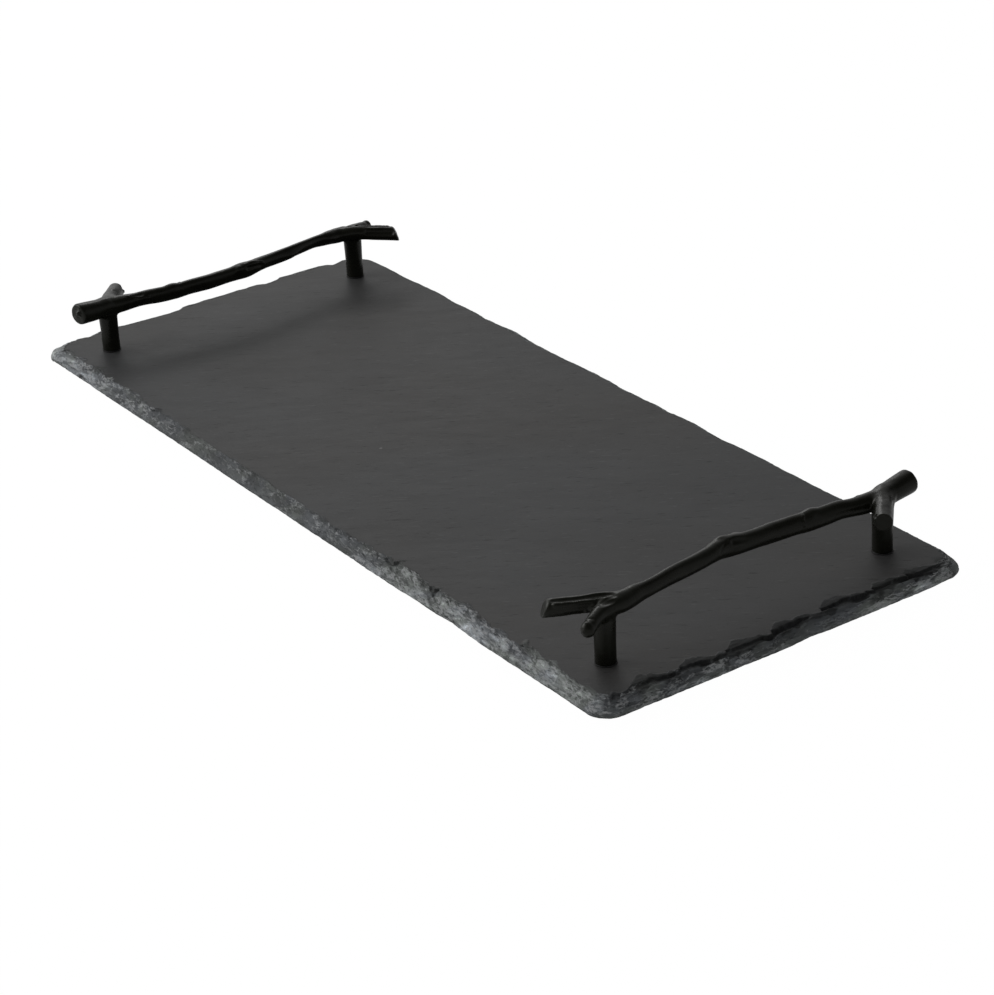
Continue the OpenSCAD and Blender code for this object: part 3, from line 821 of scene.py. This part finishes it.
def build_twig():
    """One casting in the handle's own frame: a rough base is remeshed, then drawn onto the field."""
    field = TwigField()
    stem, branch, stub = field.axes
    bore_z = GASKET_T + BORE_DEPTH
    base_top = POST_TOP - 0.5
    profile = [(0, base_top), (POST_R, base_top), (POST_R, 12), (POST_R, GASKET_T), (BORE_R, GASKET_T),
               (BORE_R, bore_z), (0, bore_z)]
    post, post_faces = revolve(profile, 40)
    points, faces = [], []
    for more_points, more_faces in (tube_points(with_dome(stem[2:, :4])), tube_points(branch[:-1]),
                                    tube_points(stub[:-1]), (post - (0, POST_Y, 0), post_faces),
                                    (post + (0, POST_Y, 0), post_faces)):
        first = len(points)
        points.extend(more_points)
        faces.extend(tuple(first + i for i in f) for f in more_faces)
    obj = new_object("twig_base", points, faces)
    remesh = obj.modifiers.new("remesh", "REMESH")
    remesh.mode = "VOXEL"
    remesh.voxel_size = VOXEL * MM
    mesh = applied_mesh(obj)
    bpy.data.objects.remove(obj)
    n = len(mesh.vertices)
    co = np.empty(n * 3)
    mesh.vertices.foreach_get("co", co)
    p = co.reshape(-1, 3) / MM
    edges = np.empty(len(mesh.edges) * 2, int)
    mesh.edges.foreach_get("vertices", edges)
    edges = edges.reshape(-1, 2)
    degree = np.bincount(edges.ravel(), minlength=n)[:, None]
    for turn in range(FIELD_TURNS):
        f = field(p)
        grad = np.stack([(field(p + FIELD_STEP * e) - f) / FIELD_STEP for e in np.eye(3)], 1)
        size2 = np.clip((grad * grad).sum(1), STEEPEST, None)
        move = -(f / size2)[:, None] * grad
        far = np.linalg.norm(move, axis=1)[:, None]
        p = p + move * np.minimum(1, FARTHEST_MOVE / np.maximum(far, 1e-9))
        if turn < SLIDE_TURNS:
            total = np.zeros_like(p)
            np.add.at(total, edges[:, 0], p[edges[:, 1]])
            np.add.at(total, edges[:, 1], p[edges[:, 0]])
            average = total / np.maximum(degree, 1) - p
            normal = grad / np.sqrt(size2)[:, None]
            p = p + 0.5 * (average - (average * normal).sum(1)[:, None] * normal)
    return p, [tuple(f.vertices) for f in mesh.polygons]


def place_handle(name, p, faces, side):
    """The casting at one end of the board: side is 1 for the near end and -1 for the far end."""
    return face_out(new_object(name, p * (side, side, 1) + (side * POST_X, 0, TOP_Z), faces))


# Gaskets, fasteners and feet, each with its seat at height 0
GASKET_EDGE = 0.15
WASHER_EDGE = 0.18
WASHER_BEVEL = 0.1
WASHER_BURR = 0.04
THREAD_PITCH = 0.7
THREAD_DEPTH = 0.38
THREAD_START, THREAD_STOP = 0.3, SCREW_L - 0.6
THREAD_RUN_IN, THREAD_RUN_OUT = 1.5, 0.7
THREAD_ROWS_PER_TURN = 8
SCREW_TIP_R = SCREW_R - 0.65
SCREW_SIDES = 72
HEAD_FLAT_R, HEAD_DOME_R = 1.6, 2.6
HEAD_ROUND_R = 1.1
NECK_R = 0.15
RECESS_OVERRUN = 0.3
# Taper of the recess: shares of its length and width at the mouth and at the bottom
RECESS_MOUTH, RECESS_BOTTOM = (1.04, 1.06), (0.62, 0.72)
FOOT_DIMPLE = 0.35
FOOT_DIMPLE_R, FOOT_DIMPLE_RIM_R = 1.6, 2.2
FOOT_ROUND_R = 0.5
MOULD_LINE = 0.1
# Flank of a foot: share of its height, share of the way from the base's radius to the full one
FOOT_FLANK = ((0.22, 0.36), (0.34, 0.5), (0.48, 0.63), (0.62, 0.75), (0.76, 0.86), (0.88, 0.94))
PAD_EDGE = 0.08


def arc_profile(centre, radius, start, end, n=5):
    a = np.radians(np.linspace(start, end, n))
    return [(centre[0] + radius * math.cos(v), centre[1] + radius * math.sin(v)) for v in a]


def gasket_shape():
    inner, rim = SCREW_R + SCREW_GAP, GASKET_R - GASKET_EDGE
    profile = [(inner, 0), (rim, 0)]
    profile += arc_profile((rim, GASKET_EDGE), GASKET_EDGE, -90, 0)[1:]
    profile += arc_profile((rim, GASKET_T - GASKET_EDGE), GASKET_EDGE, 0, 90)
    return revolve(profile + [(inner, GASKET_T)], 56, closed=True)


def washer_shape():
    inner, rim = SCREW_R + SCREW_GAP, WASHER_R - WASHER_EDGE
    profile = [(inner + WASHER_BEVEL, 0), (rim, 0)]
    profile += arc_profile((rim, WASHER_EDGE), WASHER_EDGE, -90, 0)[1:]
    profile += [(WASHER_R, WASHER_T - WASHER_BURR), (WASHER_R - WASHER_BURR, WASHER_T), (inner, WASHER_T),
                (inner, WASHER_BEVEL)]
    return revolve(profile, 64, closed=True)


def thread_row(z):
    """One ring of the thread: its radius falls and rises once round the shank."""
    ease = min(1, (z - THREAD_START) / THREAD_RUN_IN) * min(1, (THREAD_STOP - z) / THREAD_RUN_OUT + 0.35)
    row = []
    for i, (x, y, _) in enumerate(circle(1, z, SCREW_SIDES)):
        tooth = abs(2 * ((z / THREAD_PITCH - i / SCREW_SIDES) % 1) - 1)
        r = SCREW_R - THREAD_DEPTH * ease * (1 - min(1, max(0, tooth * 1.25 - 0.1)))
        row.append((r * x, r * y, z))
    return row


def screw_shape():
    """A pan head and a threaded shank, head down; the cross recess is cut into it afterwards."""
    profile = [(0, -HEAD_H), (HEAD_FLAT_R, -HEAD_H), (HEAD_DOME_R, -HEAD_H + 0.06)]
    profile += arc_profile((HEAD_R - HEAD_ROUND_R, -HEAD_H + 1.15), HEAD_ROUND_R, -80, 0, 9)
    profile += [(HEAD_R, -0.25), (HEAD_R - 0.1, -0.08), (HEAD_R - 0.25, 0)]
    profile += [(SCREW_R + NECK_R, 0), (SCREW_R, NECK_R)]
    head, faces = revolve(profile, SCREW_SIDES)
    points = head.tolist()
    length = THREAD_STOP - THREAD_START
    rows = int(length / THREAD_PITCH * THREAD_ROWS_PER_TURN)
    rings = [thread_row(THREAD_START + length * k / rows) for k in range(rows + 1)]
    for ring in rings + [circle(SCREW_TIP_R, SCREW_L, SCREW_SIDES)]:
        faces += ring_faces(len(points) - SCREW_SIDES, len(points), SCREW_SIDES)
        points += ring
    faces.append(tuple(range(len(points) - SCREW_SIDES, len(points))))
    return np.array(points), faces


def recess_cutter():
    """A tapered cross, cut into the head from below."""
    half_l, half_w = RECESS_L / 2, RECESS_W / 2
    arm = (half_w, half_w), (half_w, half_l), (-half_w, half_l)
    plus = []
    for cos, sin in ((1, 0), (0, 1), (-1, 0), (0, -1)):
        plus += [(cos * x - sin * y, sin * x + cos * y) for x, y in arm]
    n = len(plus)
    points = []
    for up, (share_x, share_y) in ((-RECESS_OVERRUN, RECESS_MOUTH), (RECESS_T, RECESS_BOTTOM)):
        points += [(x * share_x, y * share_y, up - HEAD_H) for x, y in plus[::-1]]
    return np.array(points), ring_faces(0, n, n) + [tuple(range(n - 1, -1, -1)), tuple(range(n, 2 * n))]


def boolean_cut(obj, cutter):
    face_out(cutter)
    cut = obj.modifiers.new("cut", "BOOLEAN")
    cut.operation = "DIFFERENCE"
    cut.solver = "EXACT"
    cut.object = cutter
    mesh = applied_mesh(obj)
    obj.modifiers.clear()
    obj.data = mesh
    bpy.data.objects.remove(cutter)


def foot_shape():
    """A rubber bumper: a flat base, a slightly hollow flank, a thin moulding line and a dimple below."""
    base_r = FOOT_BASE_R - FOOT_ROUND_R
    profile = [(0, FOOT_DIMPLE), (FOOT_DIMPLE_R, FOOT_DIMPLE), (2.0, 0.22), (FOOT_DIMPLE_RIM_R, 0.0),
               (base_r, 0.0)]
    profile += arc_profile((base_r, FOOT_ROUND_R), FOOT_ROUND_R, -90, -12)[1:]
    profile += [(FOOT_BASE_R + (FOOT_R - FOOT_BASE_R) * out, FOOT_H * up) for up, out in FOOT_FLANK]
    profile += [(FOOT_R + out, FOOT_H - down) for out, down in (
        (-0.02, 0.42), (MOULD_LINE, 0.34), (MOULD_LINE, 0.26), (-0.02, 0.18), (-0.05, 0.04), (-0.12, 0))]
    return revolve(profile + [(0, FOOT_H)], 72)


def pad_shape():
    rim = FOOT_R - PAD_EDGE
    profile = [(0, 0), (rim, 0), (FOOT_R, PAD_EDGE), (FOOT_R - 0.03, PAD_T / 2), (FOOT_R, PAD_T - PAD_EDGE),
               (rim, PAD_T), (0, PAD_T)]
    return revolve(profile, 72)


# Materials

class Nodes:
    """A short way to write the node tree of a material or of the world."""

    def __init__(self, owner, output="OutputMaterial"):
        self.owner = owner
        owner.use_nodes = True
        self.tree = owner.node_tree
        self.tree.nodes.clear()
        self.output = self.add(output)

    def add(self, kind, inputs=None, **settings):
        node = self.tree.nodes.new("ShaderNode" + kind)
        for key, value in settings.items():
            setattr(node, key, value)
        for key, value in (inputs or {}).items():
            if isinstance(value, bpy.types.NodeSocket):
                self.tree.links.new(value, node.inputs[key])
            else:
                node.inputs[key].default_value = value
        return node

    def place(self, scale, turn=0.0, shift=(0, 0, 0), source=None):
        """Coordinates turned, then scaled: object coordinates in metres if no source is given."""
        if source is None:
            source = self.add("TexCoord").outputs["Object"]
        first = self.add("Mapping", {"Vector": source, "Rotation": (0, 0, turn)})
        second = self.add("Mapping", {"Vector": first.outputs[0], "Scale": scale, "Location": shift})
        return second.outputs[0]

    def noise(self, scale, detail=3.0, rough=0.55, bend=0.0, *place):
        return self.add("TexNoise", {
            "Vector": self.place(scale, *place), "Scale": 1.0, "Detail": detail, "Roughness": rough,
            "Distortion": bend}).outputs["Fac"]

    def cells(self, bend, *place):
        """Bent cells: a random tone for each, and the distance to the border of the cell."""
        base = self.place(*place)
        wave = self.add("TexNoise", {"Vector": base, "Scale": 0.8, "Detail": 3.0}).outputs["Color"]
        bent = self.add("VectorMath", {0: wave, 1: (bend, bend, bend), 2: base},
                        operation="MULTIPLY_ADD").outputs[0]
        cell = {"Vector": bent, "Scale": 1.0}
        tone = self.add("TexVoronoi", cell).outputs["Color"]
        border = self.add("TexVoronoi", cell, feature="DISTANCE_TO_EDGE").outputs["Distance"]
        return self.add("SeparateColor", {0: tone}).outputs[0], border

    def span(self, value, low, high, out_low=0.0, out_high=1.0):
        """The value from low to high, smoothly mapped from out_low to out_high."""
        return self.add("MapRange", {
            "Value": value, "From Min": low, "From Max": high, "To Min": out_low, "To Max": out_high},
            interpolation_type="SMOOTHSTEP").outputs[0]

    def sway(self, noise, low=0.0, high=1.0):
        """A noise as a value that sways between low and high."""
        return self.span(noise, 0.3, 0.7, low, high)

    def math(self, operation, a, b=0.0, clamp=False):
        return self.add("Math", {0: a, 1: b}, operation=operation, use_clamp=clamp).outputs[0]

    def plus(self, a, b):
        return self.math("ADD", a, b)

    def minus(self, a, b):
        return self.math("SUBTRACT", a, b)

    def times(self, a, *more):
        for b in more:
            a = self.math("MULTIPLY", a, b)
        return a

    def larger(self, a, b):
        return self.math("MAXIMUM", a, b)

    def mix(self, share, a, b, kind="MIX"):
        return self.add("Mix", {0: share, 6: a, 7: b}, data_type="RGBA", blend_type=kind).outputs[2]

    def toned(self, colour, tone):
        """The colour times a tone."""
        level = self.add("CombineColor", {0: tone, 1: tone, 2: tone}).outputs[0]
        return self.mix(1.0, colour, level, "MULTIPLY")

    def bump(self, height, strength, distance, **more):
        inputs = {"Height": height, "Strength": strength, "Distance": distance}
        return self.add("Bump", inputs | more).outputs[0]

    def attribute(self, name, output="Fac"):
        return self.add("Attribute", attribute_name=name).outputs[output]

    def show(self, shader):
        self.tree.links.new(shader.outputs[0], self.output.inputs[0])
        return self.owner

    def finish(self, **inputs):
        names = {key.replace("_", " "): value for key, value in inputs.items()}
        return self.show(self.add("BsdfPrincipled", names))


def new_nodes(name):
    return Nodes(bpy.data.materials.new(name))


def grey(v, r=1.0, g=1.0, b=1.0):
    return (v * r, v * g, v * b, 1.0)


SLATE_TONE = 0.039


def slate_material():
    n = new_nodes("slate_stone")
    # The stone attribute is the stone's tone with the painted shade of the ledges and thin plates
    edge, fresh, level, contrast = (n.attribute(name) for name in ("edge", "fresh", "stone", "contrast"))
    place = n.attribute("place", "Vector")
    turn = -GRAIN_ANGLE
    # Riven top: soft clouds, short streaks along the grain and a few specks
    clouds = n.noise((9, 14, 9), 4, 0.55, 0.3, turn)
    long = n.noise((45, 230, 60), 4, 0.6, 0.6, turn)
    short = n.noise((150, 800, 300), 2, 0.5, 0.3, turn)
    fine = n.noise((900, 1500, 900), 2, 0.6, 0.0, turn)
    tone = n.plus(n.sway(clouds, 0.92, 1.08), n.sway(long, -0.09, 0.09))
    tone = n.plus(tone, n.sway(fine, -0.06, 0.06))
    dark = n.span(short, 0.63, 0.73)
    tone = n.minus(tone, n.times(dark, 0.5))
    tone = n.plus(tone, n.times(n.span(short, 0.36, 0.27), 0.4))
    warmth = n.noise((5, 7, 5), 2, 0.55, 0.0, turn)
    warm = n.mix(n.span(warmth, 0.35, 0.65), grey(SLATE_TONE, 1.03, 1.0, 0.97),
                 grey(SLATE_TONE, 0.98, 1.0, 1.02))
    speck = n.add("TexVoronoi", {"Vector": n.place((1, 1, 1)), "Scale": 30.0, "Randomness": 1.0})
    is_speck = n.span(speck.outputs["Distance"], 0.035, 0.02)
    chosen = n.span(speck.outputs["Color"], 0.72, 0.8)
    top = n.mix(n.times(is_speck, chosen, 0.6), n.toned(warm, tone), grey(0.2))
    # Knapped edge: flakes of bluish and greenish stone, each with its tone, with pale veins and dark cracks
    hue = n.noise((45, 45, 90), 3, 0.5, 0.5)
    cool = n.mix(n.span(hue, 0.4, 0.6), grey(1.0, 0.93, 1.0, 1.07), grey(1.0, 0.95, 1.03, 0.98))
    facets, facet_rim = n.cells(1.1, (0.11, 0.4, 0.42), 0.17, (3, 1, 2), place)
    flakes, flake_rim = n.cells(1.0, (0.3, 0.85, 0.95), -0.22, (9, 4, 7), place)
    dust = n.noise((1.2, 2.6, 2.8), 3, 0.62, 0.4, 0.1, (5, 8, 1), place)
    cluster = n.noise((0.085, 0.24, 0.24), 3, 0.55, 0.5, -0.1, (2, 6, 4), place)
    crushed = n.plus(cluster, n.times(n.minus(contrast, 0.45), 0.35))
    crushed = n.times(n.span(crushed, 0.48, 0.57), n.span(contrast, 0.12, 0.35))
    small = n.plus(n.times(n.minus(flakes, 0.5), 2.2), n.sway(dust, -0.8, 0.8))
    power = n.plus(n.times(n.minus(facets, 0.5), 1.9), n.times(small, n.span(crushed, 0.0, 1.0, 0.25, 1.0)))
    power = n.plus(power, n.times(crushed, 1.3))
    level = n.times(level, n.math("POWER", 2.0, n.times(power, contrast)))
    gate = n.noise((0.3, 0.9, 0.9), 2, 0.6, 0.5, 0.3, (7, 3, 5), place)
    crack = n.times(n.span(facet_rim, 0.1, 0.02), n.span(gate, 0.47, 0.4))
    stone = n.toned(cool, n.times(level, n.minus(1.0, n.times(crack, 0.5))))
    long_vein = n.times(n.span(facet_rim, 0.12, 0.02), n.span(gate, 0.5, 0.58),
                        n.span(n.plus(crushed, fresh), 0.0, 0.5, 0.35, 1.0))
    short_vein = n.times(n.span(flake_rim, 0.2, 0.04), n.span(gate, 0.42, 0.52), crushed)
    vein = n.times(n.larger(long_vein, short_vein), n.span(contrast, 0.1, 0.45))
    stone = n.mix(n.times(vein, 0.8), stone, grey(0.34, 0.98, 1.0, 1.02))
    roughness = n.plus(n.span(edge, 0.0, 1.0, 0.58, 0.66), n.sway(long, -0.03, 0.03))
    relief = n.plus(n.times(long, 0.35), n.times(fine, 0.25))
    normal = n.bump(n.minus(relief, n.times(dark, 0.5)), 0.3, 0.00022)
    rock = n.plus(n.times(flakes, 0.7), n.times(dust, 0.5))
    rock = n.plus(facets, n.times(rock, n.span(crushed, 0.0, 1.0, 0.15, 1.0)))
    normal = n.bump(n.times(rock, edge), 0.6, 0.0005, Normal=normal)
    return n.finish(Base_Color=n.mix(edge, top, stone), Roughness=roughness, Normal=normal,
                    Specular_IOR_Level=0.26)


def casting_material():
    n = new_nodes("satin_black_casting")
    wide = n.noise((60, 25, 60), 3, 0.5)
    fine = n.noise((700, 450, 700), 3, 0.6)
    grit = n.noise((2200, 2200, 2200), 2, 0.5)
    colour = n.mix(n.span(wide, 0.35, 0.65), grey(0.0054, 1.03, 1.02, 0.68), grey(0.0078, 0.98, 1.05, 0.72))
    colour = n.mix(n.span(fine, 0.62, 0.75, 0.0, 0.5), colour, grey(0.017, 1.04, 1.02, 0.82))
    roughness = n.plus(n.sway(wide, 0.24, 0.32), n.sway(fine, -0.03, 0.05))
    relief = n.plus(fine, n.times(grit, 0.4))
    return n.finish(Base_Color=colour, Roughness=roughness, Normal=n.bump(relief, 0.25, 0.00018),
                    Specular_IOR_Level=0.22, Specular_Tint=(1.0, 1.0, 0.96, 1.0))


def rubber_material(name, tone, roughness):
    n = new_nodes(name)
    cloud = n.noise((180, 180, 180))
    grain = n.noise((1800, 1800, 1800), 2)
    colour = n.mix(n.sway(cloud), grey(tone * 0.85), grey(tone * 1.2))
    rough = n.sway(grain, roughness - 0.06, roughness + 0.06)
    return n.finish(Base_Color=colour, Roughness=rough, Normal=n.bump(grain, 0.3, 0.0001),
                    Specular_IOR_Level=0.4)


def steel_material(name, tone):
    n = new_nodes(name)
    cloud = n.noise((300, 300, 300))
    turned = n.noise((250, 250, 5000), 2, 0.5)
    scratch = n.noise((300, 5200, 300), 2, 0.55, 0.0, 0.5)
    colour = n.mix(n.sway(cloud), grey(tone * 0.9, 1.0, 0.99, 0.95), grey(tone, 0.97, 1.0, 1.03))
    rough = n.plus(n.sway(cloud, 0.26, 0.36), n.sway(scratch, -0.04, 0.06))
    relief = n.plus(scratch, turned)
    return n.finish(Base_Color=colour, Roughness=rough, Metallic=1.0, Normal=n.bump(relief, 0.12, 0.00006))


def foam_material():
    n = new_nodes("acrylic_foam")
    cells = n.add("TexVoronoi", {"Vector": n.place((1, 1, 1)), "Scale": 3200.0})
    cloud = n.noise((400, 400, 400))
    colour = n.mix(n.sway(cloud), grey(0.62, 1.0, 1.0, 0.97), grey(0.72, 1.0, 1.0, 0.98))
    return n.finish(Base_Color=colour, Roughness=n.sway(cloud, 0.5, 0.62),
                    Normal=n.bump(cells.outputs["Distance"], 0.3, 0.00008))


def dress(obj, material, slot, *nodes):
    """Gives a piece its material and its body, and hides the CAD nodes it stands for. The slot is not used.
    """
    obj.data.materials.clear()
    obj.data.materials.append(material)
    obj.data.polygons.foreach_set("material_index", [0] * len(obj.data.polygons))
    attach(obj, "root")
    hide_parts(*nodes)


# The pieces
CREASE = math.radians(34)
slate = build_slate()
dress(slate, slate_material(), "slate", "slate_board")

casting = casting_material()
twig_points, twig_faces = build_twig()
for side, end in ((1, "near"), (-1, "far")):
    handle = place_handle(end + "_twig_handle", twig_points, twig_faces, side)
    dress(handle, casting, "black_casting", end + "_handle")

gasket_rubber = rubber_material("gasket_rubber_matt", 0.012, 0.62)
foot_rubber = rubber_material("foot_rubber_matt", 0.018, 0.58)
washer_zinc = steel_material("washer_zinc", 0.55)
screw_zinc = steel_material("screw_zinc", 0.5)
foam = foam_material()
fittings = [
    ("gasket", gasket_shape(), POST_X, TOP_Z, gasket_rubber, "gasket_rubber"),
    ("washer", washer_shape(), POST_X, HEAD_Z, washer_zinc, "washer_steel"),
    ("screw", screw_shape(), POST_X, HEAD_Z, screw_zinc, "screw_steel"),
    ("foot", foot_shape(), FOOT_X, 0.0, foot_rubber, "foot_rubber"),
    ("foot_pad", pad_shape(), FOOT_X, FOOT_H, foam, "adhesive"),
]
for side_x, end in ((1, "near"), (-1, "far")):
    for side_y, hand in ((-1, "left"), (1, "right")):
        for kind, (points, faces), x, z, material, slot in fittings:
            node = end + "_" + hand + "_" + kind
            at = side_x * x, side_y * POST_Y, z
            piece = face_out(new_object(node + "_piece", points + at, faces))
            if kind == "screw":
                cross, cross_faces = recess_cutter()
                boolean_cut(piece, new_object("cutter", cross + at, cross_faces))
            piece.data.set_sharp_from_angle(angle=CREASE)
            dress(piece, material, slot, node)

# Floor, lit by the lamps and shown white. From here on sizes are in metres
FLOOR_SIZE = 8.0
FLOOR_TONE = 0.8
FLOOR_SHOWN_SHARE = 0.98
FLOOR_SHOWN_LIGHT = 1.012
bpy.ops.mesh.primitive_plane_add(size=FLOOR_SIZE, location=(0, 0, 0))
floor = bpy.context.object
floor.name = "studio_floor"
n = new_nodes("pale_floor")
lit = n.add("BsdfDiffuse", {"Color": grey(FLOOR_TONE)})
shown = n.add("Emission", {"Color": grey(1), "Strength": FLOOR_SHOWN_LIGHT})
seen = n.add("LightPath").outputs["Is Camera Ray"]
floor.data.materials.append(n.show(n.add("MixShader", {
    0: n.times(seen, FLOOR_SHOWN_SHARE), 1: lit.outputs[0], 2: shown.outputs[0]})))

# World: a dim room, a white backdrop behind the object, and white for what the camera sees past it
ROOM_LIGHT = 0.3
ROOM_GLOSS = 0.06
BACKDROP_WAY = (-0.939, 0.136, 0.316)
BACKDROP_FROM, BACKDROP_TO = 0.2, 0.98
BACKDROP_POWER = 1.2
BACKDROP_LIGHT = 0.95
HORIZON_LIGHT = 0.32
HORIZON_TOP, HORIZON_FADE = 0.25, 0.68
world = bpy.data.worlds.new("studio_world")
bpy.context.scene.world = world
n = Nodes(world, "OutputWorld")
way = n.add("TexCoord").outputs["Generated"]
behind = n.add("VectorMath", {0: way, 1: BACKDROP_WAY}, operation="DOT_PRODUCT").outputs["Value"]
rays = n.add("LightPath").outputs
glossy = n.larger(rays["Is Glossy Ray"], rays["Is Transmission Ray"])
across = n.math("DIVIDE", n.minus(behind, BACKDROP_FROM), BACKDROP_TO - BACKDROP_FROM, clamp=True)
backdrop = n.times(n.math("POWER", across, BACKDROP_POWER), BACKDROP_LIGHT - ROOM_GLOSS)
height = n.math("ABSOLUTE", n.add("SeparateXYZ", {0: way}).outputs["Z"])
horizon = n.span(height, HORIZON_FADE, HORIZON_TOP, 0.0, HORIZON_LIGHT)
backdrop = n.larger(n.plus(backdrop, ROOM_GLOSS), horizon)
level = n.plus(n.times(glossy, n.minus(backdrop, ROOM_LIGHT)), ROOM_LIGHT)
level = n.larger(level, rays["Is Camera Ray"])
n.show(n.add("Background", {"Color": grey(1), "Strength": level}))

# Lamps, aimed at the origin: name, position, size, power
LAMPS = [
    ("key_softbox", (-1.25, -1.35, 1.15), (2.0, 1.5), 26.0),
    ("back_softbox", (-1.55, 0.75, 1.15), (0.7, 0.5), 3.0),
]
for name, position, size, power in LAMPS:
    data = bpy.data.lights.new(name, "AREA")
    data.shape = "RECTANGLE"
    data.size, data.size_y = size
    data.energy = power
    lamp = link_object(name, data)
    lamp.location = position
    lamp.rotation_euler = (-Vector(position)).to_track_quat("-Z", "Y").to_euler()

# Camera, fitted to the board's edges and the four posts
CAMERA_AT = (1.04843, -0.68015, 0.60091)
CAMERA_RIGHT = (0.57461178, 0.81687186, -0.0504149)
CAMERA_DOWN = (0.3389069, -0.29356272, -0.89384733)
CAMERA_AHEAD = (-0.74495866, 0.49652925, -0.44552811)
IMAGE_WIDTH = 994
FOCAL_PIXELS = 2808.15
SENSOR = 36.0
CLIP_START, CLIP_END = 0.05, 20
camera_data = bpy.data.cameras.new("view_camera")
camera_data.sensor_fit = "HORIZONTAL"
camera_data.sensor_width = SENSOR
camera_data.lens = SENSOR * FOCAL_PIXELS / IMAGE_WIDTH
camera_data.clip_start = CLIP_START
camera_data.clip_end = CLIP_END
camera = link_object("view_camera", camera_data)
axes = Matrix((CAMERA_RIGHT, -Vector(CAMERA_DOWN), -Vector(CAMERA_AHEAD))).transposed()
camera.matrix_world = Matrix.Translation(CAMERA_AT) @ axes.to_4x4()
bpy.context.scene.camera = camera

bpy.context.scene.view_settings.view_transform = "Standard"
